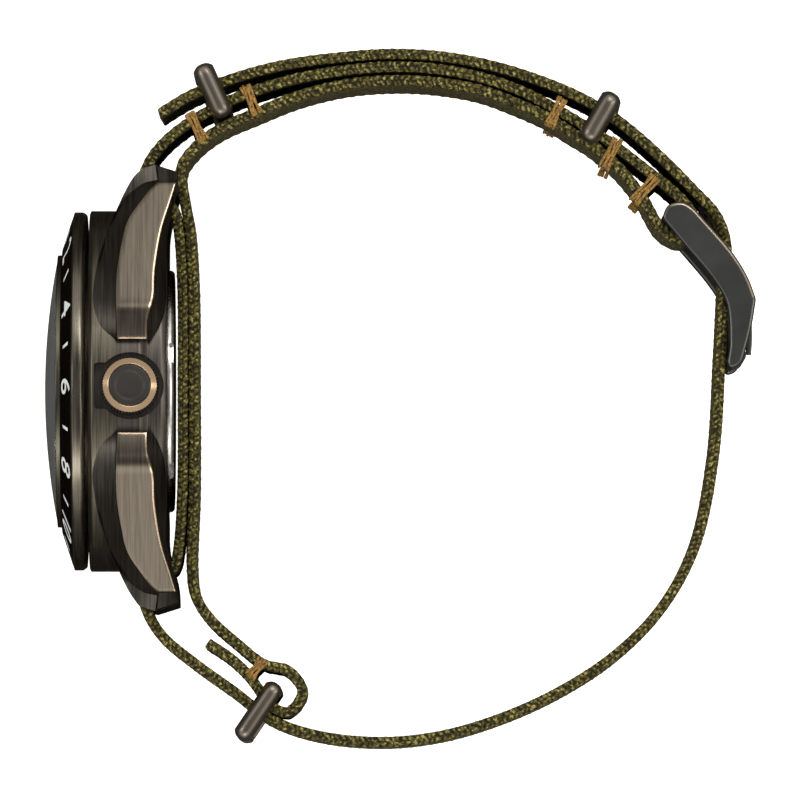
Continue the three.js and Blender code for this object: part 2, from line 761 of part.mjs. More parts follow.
// ---------- strap, in the world's own X and Y ----------
// The long strap, from its hem under the buckle, round the hinge bar, along the top, round
// both spring bars behind the case, round the bottom and back over the top to its tail.
const mainRoute = [
  [60.3, 21.6], [62.3, 18.4], [64.5, 17.55], [65.9, 19.5], [64.9, 21.5], [62.6, 23.5], [59.5, 26],
  [56.2, 28.7], [52.9, 31], [49.5, 33], [45, 35.1], [38.5, 37], [31.4, 37.7], [24.4, 37.2],
  [17.3, 35.8], [11.2, 33.6], [6.5, 31], [3.6, 28.6], [1.9, 26.2], [1.4, 23.9], [2.3, 22.4],
  [3.8, 21.75], [4.95, 20.9], [5.5, 18.6], [5.95, 12], [6, 0], [5.95, -12], [5.5, -18.6],
  [4.95, -20.9], [3.8, -21.75], [2.3, -22.4], [1.4, -23.9], [1.9, -26.2], [3.6, -28.9],
  [7.4, -32.1], [12, -35.4], [16.6, -38.8],
  [22, -40.6], [29.3, -41.3], [36.1, -40.6], [43, -38.6], [49.9, -35.5], [56.5, -31.2],
  [62, -25.6], [65.9, -18.4], [68.1, -8], [68.9, 4], [69.3, 12], [69.55, 17], [68.4, 20.3],
  [65.9, 23.5], [61.6, 27.8], [56.6, 31.9], [52.3, 34.2], [45.4, 36.9], [38.4, 38.6], [31.4, 39.2],
  [24.4, 38.8], [17.3, 37.8], [11.5, 36.2], [6.8, 34.3], [3.3, 32.2],
];
// The short strap under it, from the seam near the buckle to its loop round the third keeper.
const shortRoute = [
  [59, 22.4], [56.5, 25.1], [53.2, 27.7], [51, 29.6], [48.3, 31.4], [44.8, 33.5], [41, 34.9],
  [36.2, 35.8], [31.4, 36.1], [25.5, 35.7], [19.6, 34.3], [14.8, 32.4], [10.1, 30.3], [7.2, 28],
  [5.8, 25.8], [6.15, 22.3], [6.75, 19], [7.2, 12], [7.3, 0], [7.3, -12], [7.05, -21],
  [7.5, -24.2], [9.2, -26.9], [12.5, -29.9], [15.5, -32.2], [18.4, -33], [20, -35.4], [18.4, -37.9],
  [15.9, -36.7], [14.2, -34.2], [12.2, -31.9], [9.8, -30],
];

// A strap: a flat band swept along its route.
const band = (route, steps) => {
  const path = new THREE.CatmullRomCurve3(
    route.map(([x, y]) => new THREE.Vector3(x, y, 0)), false, "centripetal");
  const points = path.getSpacedPoints(steps);
  const tangents = points.map((_, k) => path.getTangentAt(k / steps));
  const half = strapThickness / 2;
  const side = (sign) => points.map((p, k) =>
    [p.x - sign * half * tangents[k].y, p.y + sign * half * tangents[k].x]);
  const outline = [...side(1), ...side(-1).reverse()];
  return prism(outline, flankHeight - strapWidth / 2, flankHeight + strapWidth / 2);
};

// ---------- buckle ----------
const rod = (radius, low, high, at, steps = 24) => disc(radius, low, high, steps, at);
const railLow = flankHeight + strapWidth / 2 + seatGap;

const railOutline = () => {
  const shape = new THREE.Shape();
  shape.moveTo(61.9, 20.4);
  shape.quadraticCurveTo(62.3, 21.9, 64.2, 21.7);
  shape.lineTo(66.3, 20.6);
  shape.lineTo(70.2, 16.4);
  shape.quadraticCurveTo(72.7, 13.4, 72.9, 10.2);
  shape.quadraticCurveTo(72.9, 7, 71.8, 3.9);
  shape.quadraticCurveTo(71.2, 2.2, 69.7, 2.6);
  shape.lineTo(70, 5.6);
  shape.quadraticCurveTo(70.3, 9, 68.3, 12);
  shape.quadraticCurveTo(66.2, 15.6, 62.9, 18.5);
  shape.closePath();
  return shape.getPoints(6).slice(0, -1).map((p) => [p.x, p.y]);
};

const buckleFrame = () => {
  const outline = railOutline();
  const near = prism(outline, railLow, railLow + railThickness);
  const far = near.translate([0, 0, -strapWidth - 2 * seatGap - railThickness]);
  const span = railLow + railThickness / 2;
  const bar = rod(outerBarRadius, 2 * flankHeight - span, span, outerBarAt);
  const hole = rod(hingeBarRadius + runGap, -50, 99, hingeAt);
  return union(near, far, bar).subtract(hole);
};

const hingeBar = () => {
  const reach = strapWidth / 2 + seatGap + railThickness - 0.2;
  return rod(hingeBarRadius, flankHeight - reach, flankHeight + reach, hingeAt);
};

// The tongue: an eye on the hinge bar and a bent bar that passes the strap's eyelet and
// ends on the outer bar.
const tongueRoute = [
  [64.6, 22.3], [65.6, 22.5], [66.7, 21.6], [67.1, 19.7], [68.2, 17.6], [70.3, 15.4], [71.7, 13],
  [72.3, 9.5], [72.6, 6.3], [72.5, 4.2],
];

const tongueBar = (route, thickness, width, steps) => {
  const path = new THREE.CatmullRomCurve3(route.map(([x, y]) => new THREE.Vector3(x, y, 0)));
  const points = path.getSpacedPoints(steps);
  const tangents = points.map((_, k) => path.getTangentAt(k / steps));
  const half = thickness / 2;
  const side = (sign) => points.map((p, k) =>
    [p.x - sign * half * tangents[k].y, p.y + sign * half * tangents[k].x]);
  return prism([...side(1), ...side(-1).reverse()], flankHeight - width / 2, flankHeight + width / 2);
};

const eyeRadius = 1.75;
const tongueBody = (thickness, width) => {
  const half = width / 2;
  const [hx, hy] = hingeAt;
  const eye = rod(eyeRadius + thickness - tongueThickness, flankHeight - half, flankHeight + half, hingeAt);
  const neck = prism([[hx - 0.2, hy], [hx + 0.9, hy], [hx + 1.1, hy + 3], [hx + 0.3, hy + 3]],
    flankHeight - half, flankHeight + half);
  return union(eye, neck, tongueBar(tongueRoute, thickness, width, 14));
};

const buckleTongue = () =>
  tongueBody(tongueThickness, tongueWidth)
    .subtract(rod(hingeBarRadius + runGap, -50, 99, hingeAt));

// The space that the tongue needs in the strap as it lifts.
const tongueSpace = () => {
  const [hx, hy] = hingeAt;
  const wide = tongueBody(tongueThickness + 0.3, tongueWidth + 0.6).translate([-hx, -hy, 0]);
  const turns = [0, 0.5, 1].map((share) => wide.rotate([0, 0, share * (tongueSwing + 1)]));
  return union(...turns).translate([hx, hy, 0]);
};

// ---------- keepers ----------
// A ring round the strap: its middle, the direction across the strap's layers, and how far
// it reaches along that direction to each side.
const keepers = {
  keeper_top: { at: [9.35, 35.2], across: [-0.415, 0.909], out: 3, inn: 3.75, width: 2.2 },
  keeper_buckle: { at: [54.95, 31.95], across: [0.5, 0.866], out: 3, inn: 3.55, width: 2.2 },
  keeper_bottom: { at: [14.85, -37.75], across: [-0.56, -0.83], out: 3.9, inn: 3.95, width: 2 },
};

const keeper = ({ at, across, out, inn, width }) => {
  const half = strapWidth / 2 + keeperSideGap + keeperSide;
  const outline = (grow, round) => {
    const shape = new THREE.Shape();
    const [x0, x1] = [-inn + grow, out - grow];
    const y = half - (grow > 0 ? keeperSide : 0);
    shape.moveTo(x0 + round, -y);
    shape.lineTo(x1 - round, -y);
    shape.quadraticCurveTo(x1, -y, x1, -y + round);
    shape.lineTo(x1, y - round);
    shape.quadraticCurveTo(x1, y, x1 - round, y);
    shape.lineTo(x0 + round, y);
    shape.quadraticCurveTo(x0, y, x0, y - round);
    shape.lineTo(x0, -y + round);
    shape.quadraticCurveTo(x0, -y, x0 + round, -y);
    return shape.getPoints(3).slice(0, -1).map((p) => [p.x, p.y]);
  };
  const loop = prism(outline(0, keeperRound), -width / 2, width / 2)
    .subtract(prism(outline(keeperBar, 0.3), -width, width));
  const angle = (Math.atan2(across[1], across[0]) * 180) / Math.PI;
  return loop.rotate([90, 0, 0]).rotate([0, 0, angle]).translate([...at, flankHeight]);
};

// ---------- assembly ----------
const head = new THREE.Group();
head.rotation.y = -Math.PI / 2;
head.position.z = flankHeight;
head.add(
  mesh("case_body", caseBody(), gunmetal),
  mesh("bezel_ring", bezelRing(), gunmetal),
  mesh("bezel_insert", bezelInsert(), insertBlack),
  mesh("bezel_click_ring", clickRing(), springSteel),
  mesh("crystal", crystal(), sapphire),
  mesh("crystal_gasket", crystalGasket(), rubber),
  mesh("chapter_ring", chapterRing(), dialBlack),
  mesh("dial", dial(), dialBlack),
  mesh("gmt_hand", hand(2, gmtTube.outer + pressGap, handLevel(0), gmtHandLength, 0.7, 0), gmtRed),
  mesh("hour_hand", hand(1.8, hourTube.outer + pressGap, handLevel(1), hourHandLength, 1.5, 0), handWhite),
  mesh("minute_hand", hand(1.5, cannonTube.outer + pressGap, handLevel(2), minuteHandLength, 1.2, 0),
    handWhite),
  mesh("second_hand", hand(0.8, arborRadius + pressGap, handLevel(3), secondHandLength, 0.3, 3.5),
    handWhite),
  mesh("cannon_pinion", cannonPinion(), steel),
  mesh("minute_wheel", minuteWheel(), brass),
  mesh("hour_wheel", hourWheel(), brass),
  mesh("gmt_wheel", gmtWheel(), brass),
  mesh("mainplate", mainplate(), brass),
  mesh("train_bridge", trainBridge(), steel),
  mesh("balance_cock", balanceCock(), steel),
  mesh("barrel", barrel(), brass),
  mesh("barrel_arbor", barrelArbor(), steel),
  mesh("mainspring", mainspring(), springSteel),
  mesh("center_wheel", centerWheel(), brass),
  mesh("third_wheel", thirdWheel(), brass),
  mesh("fourth_wheel", fourthWheel(), brass),
  mesh("escape_wheel", escapeWheel(), steel),
  mesh("pallet_fork", palletFork(), steel),
  mesh("balance_wheel", balanceWheel(), brass),
  mesh("rotor_post", rotorPost(), steel),
  mesh("rotor", rotor(), steel),
  mesh("movement_holder", movementHolder(), steel),
  mesh("sliding_pinion", slidingPinion(), steel),
  mesh("winding_stem", windingStem(), steel),
  mesh("crown_tube", crownTube(), steel),
  mesh("crown_gasket", crownGasket(), rubber),
  mesh("crown", crown(), gunmetal),
  mesh("back_cover", backCover(), steel),
  mesh("back_gasket", backGasket(), rubber),
  mesh("spring_bar_12", springBar(1), springSteel),
  mesh("spring_bar_6", springBar(-1), springSteel),
);

const watch = new THREE.Group();
watch.add(
  head,
  mesh("strap_main", band(mainRoute, 130).subtract(tongueSpace()), nylon),
  mesh("strap_short", band(shortRoute, 80), nylon),
  mesh("buckle_frame", buckleFrame(), darkSteel),
  mesh("buckle_hinge_bar", hingeBar(), darkSteel),
  mesh("buckle_tongue", buckleTongue(), darkSteel),
);
for (const [name, values] of Object.entries(keepers)) watch.add(mesh(name, keeper(values), darkSteel));

export default watch;
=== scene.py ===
import math

import bmesh
import bpy
import numpy as np
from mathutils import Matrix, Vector


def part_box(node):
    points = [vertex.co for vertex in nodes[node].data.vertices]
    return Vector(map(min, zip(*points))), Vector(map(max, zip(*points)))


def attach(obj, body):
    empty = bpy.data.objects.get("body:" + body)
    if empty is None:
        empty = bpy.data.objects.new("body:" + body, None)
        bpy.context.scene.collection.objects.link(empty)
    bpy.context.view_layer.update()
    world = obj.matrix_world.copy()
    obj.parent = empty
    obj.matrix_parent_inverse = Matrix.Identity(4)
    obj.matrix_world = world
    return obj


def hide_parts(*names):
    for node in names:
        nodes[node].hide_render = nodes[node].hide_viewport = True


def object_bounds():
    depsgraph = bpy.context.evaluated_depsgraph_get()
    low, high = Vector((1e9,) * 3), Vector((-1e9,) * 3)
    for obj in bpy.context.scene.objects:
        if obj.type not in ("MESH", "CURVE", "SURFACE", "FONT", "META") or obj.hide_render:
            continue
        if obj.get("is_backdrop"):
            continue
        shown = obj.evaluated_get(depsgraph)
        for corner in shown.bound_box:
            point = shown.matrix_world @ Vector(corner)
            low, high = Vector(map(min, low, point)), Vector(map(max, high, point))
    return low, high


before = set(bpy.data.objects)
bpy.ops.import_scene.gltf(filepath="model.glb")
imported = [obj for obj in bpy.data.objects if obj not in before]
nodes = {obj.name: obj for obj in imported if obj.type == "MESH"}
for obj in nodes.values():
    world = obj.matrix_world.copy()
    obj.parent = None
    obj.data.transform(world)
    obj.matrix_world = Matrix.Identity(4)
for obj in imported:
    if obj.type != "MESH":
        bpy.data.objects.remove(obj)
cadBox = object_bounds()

mm = 0.001
rng = np.random.default_rng(7)
print("frame loaded:", len(nodes), "nodes")

# the head turns about an axis along X: "out" runs out of the dial, "across" towards the crown
bezelLow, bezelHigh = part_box("bezel_ring")
dialAxisHeight = (bezelLow.z + bezelHigh.z) / 2 / mm


def fromHead(across, along, out):
    # head coordinates to the frame: X = -out, Y = along, Z = dial axis height + across
    return np.stack([-out, along, dialAxisHeight + across], -1)


# meshes
def putMesh(name, points, faces, smooth=True):
    # points in mm and a list of faces (or an array of quads) become a mesh object in metres
    mesh = bpy.data.meshes.new(name)
    faces = faces.tolist() if isinstance(faces, np.ndarray) else faces
    mesh.from_pydata((np.asarray(points, float).reshape(-1, 3) * mm).tolist(), [], faces)
    mesh.validate()
    piece = bpy.data.objects.new(name, mesh)
    bpy.context.scene.collection.objects.link(piece)
    if smooth:
        mesh.polygons.foreach_set("use_smooth", np.ones(len(mesh.polygons), bool))
    return piece


def gridQuads(rows, cols, closedRows=False, closedCols=False, start=0):
    # quads between neighbours of a rows x cols grid, wrapping where it is closed
    i = np.arange(rows if closedRows else rows - 1)[:, None]
    j = np.arange(cols if closedCols else cols - 1)[None, :]
    i2, j2 = (i + 1) % rows, (j + 1) % cols
    quads = np.stack([i * cols + j, i2 * cols + j, i2 * cols + j2, i * cols + j2], -1)
    return quads.reshape(-1, 4) + start


def fixNormals(piece):
    bm = bmesh.new()
    bm.from_mesh(piece.data)
    bmesh.ops.remove_doubles(bm, verts=bm.verts, dist=1e-7)
    bmesh.ops.recalc_face_normals(bm, faces=bm.faces)
    bm.to_mesh(piece.data)
    bm.free()
    return piece


def setAngle(piece, degrees):
    # faces meeting at more than this angle keep a sharp edge
    piece.data.polygons.foreach_set("use_smooth", np.ones(len(piece.data.polygons), bool))
    piece.data.set_sharp_from_angle(angle=math.radians(degrees))
    return piece


def rounded(corners, steps=4):
    # an outline of points, each with its rounding last: a corner becomes a curve that leaves
    # its sides at that distance
    corners = np.asarray(corners, float)
    points = []
    for k, corner in enumerate(corners):
        here, radius = corner[:-1], corner[-1]
        if radius <= 0:
            points.append(here[None])
            continue
        before = corners[k - 1, :-1] - here
        after = corners[(k + 1) % len(corners), :-1] - here
        a = here + before * min(radius / np.linalg.norm(before), 0.48)
        b = here + after * min(radius / np.linalg.norm(after), 0.48)
        t = np.linspace(0, 1, steps + 1)[:, None]
        points.append((1 - t) ** 2 * a + 2 * t * (1 - t) * here + t ** 2 * b)
    return np.concatenate(points)


def turned(name, corners, sides=192):
    # a closed profile [radius, out, corner radius] turned about the dial axis
    profile = rounded(corners)
    angle = np.linspace(0, 2 * np.pi, sides, endpoint=False)[:, None]
    radius = np.broadcast_to(profile[:, 0], (sides, len(profile)))
    out = np.broadcast_to(profile[:, 1], (sides, len(profile)))
    points = fromHead(radius * np.cos(angle), radius * np.sin(angle), out)
    piece = putMesh(name, points, gridQuads(sides, len(profile), True, True))
    return setAngle(fixNormals(piece), 35)


def fromCrown(x, y, level):
    # crown coordinates to the frame: the level runs out along the crown's axis
    return np.stack([x, y, dialAxisHeight + level], -1)


def turnedSolid(name, corners, sides=128, place=fromHead, wave=None):
    # a profile that starts and ends on the axis, turned about it and closed at the middle;
    # wave takes (angle, radius, level) and gives the radius
    profile = rounded(corners)
    inner = profile[profile[:, 0] > 1e-6]
    angle = np.linspace(0, 2 * np.pi, sides, endpoint=False)[:, None]
    level = np.broadcast_to(inner[:, 1], (sides, len(inner)))
    radius = inner[:, 0] + 0 * angle
    if wave:
        radius = wave(angle, radius, level)
    body = place(radius * np.cos(angle), radius * np.sin(angle), level).reshape(-1, 3)
    poles = place(np.zeros(2), np.zeros(2), np.array([inner[0, 1], inner[-1, 1]]))
    quads = gridQuads(sides, len(inner), True).tolist()
    k = np.arange(sides)
    first, last = len(body), len(body) + 1
    fans = [[first, a, b] for a, b in zip(((k + 1) % sides * len(inner)).tolist(),
                                          (k * len(inner)).tolist())]
    tail = len(inner) - 1
    fans += [[last, a, b] for a, b in zip((k * len(inner) + tail).tolist(),
                                          ((k + 1) % sides * len(inner) + tail).tolist())]
    piece = putMesh(name, np.concatenate([body, poles]), quads + fans)
    return setAngle(fixNormals(piece), 35)


def prism(name, outline, low, high, place=None):
    # an outline [x, y] raised from low to high; place turns (x, y, height) into frame points
    outline = np.asarray(outline, float)
    n = len(outline)
    place = place or (lambda x, y, z: np.stack([x, y, z], -1))
    points = [place(outline[:, 0], outline[:, 1], np.full(n, level)) for level in (low, high)]
    ring = np.arange(n)
    sides = np.stack([ring, (ring + 1) % n, (ring + 1) % n + n, ring + n], -1).tolist()
    faces = sides + [ring[::-1].tolist(), (ring + n).tolist()]
    return fixNormals(putMesh(name, np.concatenate(points), faces, False))


def join(name, pieces):
    # several pieces as one object, with their faces' surfaces
    points, faces, kinds, start = [], [], [], 0
    surfaces = list(pieces[0].data.materials)
    for piece in pieces:
        mesh = piece.data
        co = np.empty(len(mesh.vertices) * 3)
        mesh.vertices.foreach_get("co", co)
        points.append(co.reshape(-1, 3) / mm)
        faces += [[v + start for v in p.vertices] for p in mesh.polygons]
        kinds += [p.material_index for p in mesh.polygons]
        start += len(mesh.vertices)
        bpy.data.objects.remove(piece)
    piece = putMesh(name, np.concatenate(points), faces)
    for surface in surfaces:
        piece.data.materials.append(surface)
    piece.data.polygons.foreach_set("material_index", kinds)
    return piece


def cut(piece, tools, operation):
    # boolean with each tool in turn, applied at once
    for tool in tools:
        step = piece.modifiers.new("cut", "BOOLEAN")
        step.operation = operation
        step.solver = "EXACT"
        step.object = tool
        graph = bpy.context.evaluated_depsgraph_get()
        made = bpy.data.meshes.new_from_object(piece.evaluated_get(graph))
        piece.modifiers.clear()
        old = piece.data
        piece.data = made
        bpy.data.meshes.remove(old)
        bpy.data.objects.remove(tool)
    return piece


def soften(piece, width, segments=2, degrees=30):
    # small rounds on the sharp edges, kept as a live modifier
    step = piece.modifiers.new("edge", "BEVEL")
    step.width = width * mm
    step.segments = segments
    step.limit_method = "ANGLE"
    step.angle_limit = math.radians(degrees)
    step.harden_normals = True
    return piece


def spline(points, spacing):
    # a smooth line through points: each stretch is a cubic with centripetal end slopes,
    # then the whole line is cut into equal lengths
    p = np.asarray(points, float)
    p = np.concatenate([[2 * p[0] - p[1]], p, [2 * p[-1] - p[-2]]])
    gap = np.maximum(np.linalg.norm(np.diff(p, axis=0), axis=1) ** 0.5, 1e-6)[:, None]
    a, b, c = gap[:-2], gap[1:-1], gap[2:]
    p0, p1, p2, p3 = p[:-3], p[1:-2], p[2:-1], p[3:]
    m1 = ((p1 - p0) / a - (p2 - p0) / (a + b) + (p2 - p1) / b) * b
    m2 = ((p2 - p1) / b - (p3 - p1) / (b + c) + (p3 - p2) / c) * b
    t = np.linspace(0, 1, 24, endpoint=False)[None, :, None]
    h = (2 * t**3 - 3 * t**2 + 1, t**3 - 2 * t**2 + t, 3 * t**2 - 2 * t**3, t**3 - t**2)
    line = (h[0] * p1[:, None] + h[1] * m1[:, None] + h[2] * p2[:, None] + h[3] * m2[:, None])
    line = np.concatenate([line.reshape(-1, p.shape[1]), p[-2:-1]])
    length = np.concatenate([[0], np.cumsum(np.linalg.norm(np.diff(line, axis=0), axis=1))])
    at = np.linspace(0, length[-1], max(int(round(length[-1] / spacing)), 2) + 1)
    return np.stack([np.interp(at, length, line[:, k]) for k in range(line.shape[1])], -1), at


def through(table, at):
    # a smooth height table read at the given places: a natural cubic through its points
    x, y = np.asarray(table, float).T
    n = len(x)
    h = np.diff(x)
    matrix = np.eye(n)
    right = np.zeros(n)
    for k in range(1, n - 1):
        matrix[k, k - 1:k + 2] = h[k - 1], 2 * (h[k - 1] + h[k]), h[k]
        right[k] = 6 * ((y[k + 1] - y[k]) / h[k] - (y[k] - y[k - 1]) / h[k - 1])
    bend = np.linalg.solve(matrix, right)
    at = np.clip(at, x[0], x[-1])
    k = np.clip(np.searchsorted(x, at) - 1, 0, n - 2)
    left, rest = at - x[k], x[k + 1] - at
    return ((bend[k] * rest**3 + bend[k + 1] * left**3) / (6 * h[k])
            + (y[k] / h[k] - bend[k] * h[k] / 6) * rest
            + (y[k + 1] / h[k] - bend[k + 1] * h[k] / 6) * left)


# surfaces
class Sock:
    # a node's output that takes part in sums, and adds a Math node for each
    def __init__(self, surface, socket):
        self.surface, self.socket = surface, socket

    def math(self, operation, *others):
        values = {k: v for k, v in enumerate((self, *others))}
        return self.surface.node("ShaderNodeMath", {"operation": operation}, values)

    def __add__(self, other):
        return self.math("ADD", other)

    __radd__ = __add__

    def __mul__(self, other):
        return self.math("MULTIPLY", other)

    __rmul__ = __mul__

    def __sub__(self, other):
        return self.math("SUBTRACT", other)

    def clamp(self, low, high):
        return self.math("MAXIMUM", low).math("MINIMUM", high)


class Surface:
    # a material with one Principled shader
    def __init__(self, name, color, roughness, metallic=0.0, **fixed):
        self.material = bpy.data.materials.new(name)
        self.material.use_nodes = True
        self.tree = self.material.node_tree
        self.shader = self.tree.nodes["Principled BSDF"]
        self.set(Base_Color=(*color, 1), Roughness=roughness, Metallic=metallic, **fixed)

    def set(self, **inputs):
        for name, value in inputs.items():
            socket = self.shader.inputs[name.replace("_", " ")]
            if isinstance(value, Sock):
                self.tree.links.new(value.socket, socket)
            else:
                socket.default_value = value

    def node(self, kind, settings=None, inputs=None, output=0):
        made = self.tree.nodes.new(kind)
        for name, value in (settings or {}).items():
            if name == "stops":
                ramp = made.color_ramp
                while len(ramp.elements) < len(value):
                    ramp.elements.new(0.5)
                for element, (at, color) in zip(ramp.elements, value):
                    element.position = at
                    element.color = (*color, 1)
            else:
                setattr(made, name, value)
        for name, value in (inputs or {}).items():
            if isinstance(value, Sock):
                self.tree.links.new(value.socket, made.inputs[name])
            else:
                made.inputs[name].default_value = value
        return Sock(self, made.outputs[output])

    def place(self, scale=(1, 1, 1), source="Object"):
        spot = self.node("ShaderNodeTexCoord", output=source)
        return self.node("ShaderNodeMapping", {}, {"Vector": spot, "Scale": scale})

    def noise(self, scale, stretch=(1, 1, 1), detail=4, roughness=0.55, source="Object"):
        return self.node("ShaderNodeTexNoise", {}, {
            "Vector": self.place(stretch, source), "Scale": scale, "Detail": detail,
            "Roughness": roughness})

    def mix(self, factor, low, high):
        made = self.tree.nodes.new("ShaderNodeMix")
        made.data_type = "RGBA"
        for index, value in ((0, factor), (6, low), (7, high)):
            if isinstance(value, Sock):
                self.tree.links.new(value.socket, made.inputs[index])
            else:
                made.inputs[index].default_value = (*value, 1) if index else value
        return Sock(self, made.outputs[2])

    def bump(self, height, distance, strength=1.0):
        bumped = self.node("ShaderNodeBump", {}, {
            "Height": height, "Distance": distance, "Strength": strength})
        self.set(Normal=bumped)


def shade(piece, surface):
    piece.data.materials.clear()
    piece.data.materials.append(surface.material)
    return piece


# stage
target = Vector((0.0314, -0.001, 0.022))
tilt = math.radians(1.8)
cameraData = bpy.data.cameras.new("camera")
cameraData.lens = 800
cameraData.sensor_width = 36
reach = 2.0889
camera = bpy.data.objects.new("camera", cameraData)
camera.location = target + Vector((0, -math.sin(tilt), math.cos(tilt))) * reach
camera.rotation_euler = (tilt, 0, 0)
bpy.context.scene.collection.objects.link(camera)
bpy.context.scene.camera = camera
bpy.context.scene.view_settings.view_transform = "Standard"

floorSize = 1500
floor = putMesh("floor", [[-floorSize, -floorSize, -0.4], [floorSize, -floorSize, -0.4],
                          [floorSize, floorSize, -0.4], [-floorSize, floorSize, -0.4]],
                [[0, 1, 2, 3]], False)
# matt pale floor; what the metal mirrors of it is a darker cloth
floorSurface = Surface("floor", (0.93, 0.93, 0.93), 0.9, Emission_Color=(1, 1, 1, 1),
                       Emission_Strength=0.8)
cloth = floorSurface.node("ShaderNodeBsdfDiffuse", {}, {"Color": (0.1, 0.1, 0.1, 1)})
seen = floorSurface.node("ShaderNodeLightPath", output="Is Camera Ray")
blend = floorSurface.tree.nodes.new("ShaderNodeMixShader")
floorSurface.tree.links.new(seen.socket, blend.inputs[0])
floorSurface.tree.links.new(cloth.socket, blend.inputs[1])
floorSurface.tree.links.new(floorSurface.shader.outputs[0], blend.inputs[2])
floorSurface.tree.links.new(blend.outputs[0], floorSurface.tree.nodes["Material Output"].inputs[0])
shade(floor, floorSurface)
floor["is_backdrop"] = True

# the sky has a pale band part of the way up, and is dim below it, above it and overhead
world = bpy.data.worlds.new("studio")
bpy.context.scene.world = world
world.use_nodes = True
sky = world.node_tree
background = sky.nodes["Background"]
direction = sky.nodes.new("ShaderNodeTexCoord")
split = sky.nodes.new("ShaderNodeSeparateXYZ")
ramp = sky.nodes.new("ShaderNodeValToRGB")
sky.links.new(direction.outputs["Generated"], split.inputs[0])
sky.links.new(split.outputs["Z"], ramp.inputs[0])
sky.links.new(ramp.outputs[0], background.inputs[0])
tones = ((0.0, (0.12, 0.12, 0.12)), (0.1, (0.3, 0.29, 0.27)), (0.27, (1.0, 0.93, 0.83)),
         (0.75, (1.0, 0.93, 0.83)), (0.9, (0.25, 0.24, 0.23)), (0.975, (0.12, 0.12, 0.12)),
         (0.995, (0.4, 0.39, 0.37)))
while len(ramp.color_ramp.elements) < len(tones):
    ramp.color_ramp.elements.new(0.5)
for element, (at, tone) in zip(ramp.color_ramp.elements, tones):
    element.position = at
    element.color = (*tone, 1)
background.inputs["Strength"].default_value = 1.0


def lamp(name, place, size, power, tint=(1, 1, 1)):
    # a square soft light that faces the middle of the watch
    data = bpy.data.lights.new(name, "AREA")
    data.shape = "RECTANGLE"
    data.size, data.size_y = size
    data.energy = power
    data.color = tint
    light = bpy.data.objects.new(name, data)
    light.location = place
    light.rotation_euler = (target - Vector(place)).to_track_quat("-Z", "Y").to_euler()
    bpy.context.scene.collection.objects.link(light)


lamp("key", (0.25, 0.55, 0.75), (0.5, 0.25), 2.4, (1, 0.96, 0.9))
lamp("fill", (0.75, 0.0, 0.6), (0.2, 0.7), 1.5, (1, 0.94, 0.86))
lamp("low", (0.0, -0.7, 0.6), (0.6, 0.2), 1.8, (1, 0.95, 0.88))
lamp("side", (-0.7, 0.1, 0.55), (0.2, 0.5), 1.2)
print("stage set")


def withKinds(piece, kinds, surfaces):
    # surfaces in the same order on every part that is cut or joined, and each face's own one
    piece.data.materials.clear()
    for surface in surfaces:
        piece.data.materials.append(surface.material)
    count = len(piece.data.polygons)
    piece.data.polygons.foreach_set("material_index", np.broadcast_to(kinds, count).astype(np.int32))
    return piece


# metal surfaces
def brushed(name, color, roughness, stretch, depth=0.000012, edge=None, metallic=1.0, **fixed):
    # brushed metal: fine noise drawn out along one direction lifts the surface a little,
    # and a slow noise varies the roughness and the tone
    surface = Surface(name, color, roughness, metallic, **fixed)
    grain = surface.noise(5200, stretch, 3)
    cloud = surface.noise(180, detail=3)
    tone = ((grain - 0.5) * 2.2 + cloud * 0.5 + 0.25).clamp(0, 1)
    surface.set(Base_Color=surface.mix(tone, tuple(c * 0.62 for c in color),
                                       tuple(min(c * 1.38, 1) for c in color)),
                Roughness=grain * 0.2 + cloud * 0.1 + (roughness - 0.15))
    surface.bump(grain, depth, 0.6)
    return surface


def satin(name, color, roughness, **fixed):
    # blasted metal: a fine even noise in height, and a slow one in roughness
    surface = Surface(name, color, roughness, 1.0, **fixed)
    grain = surface.noise(14000, detail=2)
    cloud = surface.noise(240, detail=3)
    surface.set(Base_Color=surface.mix(cloud, tuple(c * 0.85 for c in color),
                                       tuple(c * 1.15 for c in color)),
                Roughness=grain * 0.1 + cloud * 0.12 + (roughness - 0.11))
    surface.bump(grain, 0.000006, 0.5)
    return surface


coat = (0.35, 0.33, 0.3, 1)
caseAlong = brushed("case brushed along", (0.105, 0.093, 0.077), 0.36, (1, 0.03, 0.03), Specular_Tint=coat)
caseDark = brushed("case dark", (0.11, 0.102, 0.093), 0.38, (1, 0.03, 0.03), Specular_Tint=coat)
# the polished bevels are painted about four times brighter than the case: a painted highlight
casePaintedHighlight = satin("case painted highlight", (0.42, 0.33, 0.25), 0.24)
# the case's round middle is brushed round the dial axis, so its lines run along Y
caseMiddle = brushed("case middle", (0.12, 0.112, 0.09), 0.36, (1, 0.03, 0.03), Specular_Tint=coat)
bezelSurface = brushed("bezel", (0.15, 0.138, 0.115), 0.27, (1, 0.03, 0.03), Specular_Tint=coat)
steelBrushed = brushed("steel brushed", (0.75, 0.75, 0.76), 0.3, (1, 0.1, 1), 0.000004)
steelSatin = satin("steel satin", (0.5, 0.5, 0.5), 0.3)
crownSurface = satin("crown", (0.12, 0.115, 0.11), 0.32)
# the tip's polished bevel is painted about three times brighter than the crown: a painted highlight
crownPaintedHighlight = satin("crown painted highlight", (0.42, 0.31, 0.21), 0.2)
buckleSurface = satin("buckle", (0.105, 0.11, 0.108), 0.34)
keeperSurface = satin("keeper", (0.19, 0.172, 0.15), 0.34)
# the bevels that face up the strap are painted about three times brighter than the buckle: a painted
# highlight
bucklePaintedHighlight = satin("buckle painted highlight", (0.3, 0.26, 0.22), 0.26)
print("metal surfaces made")


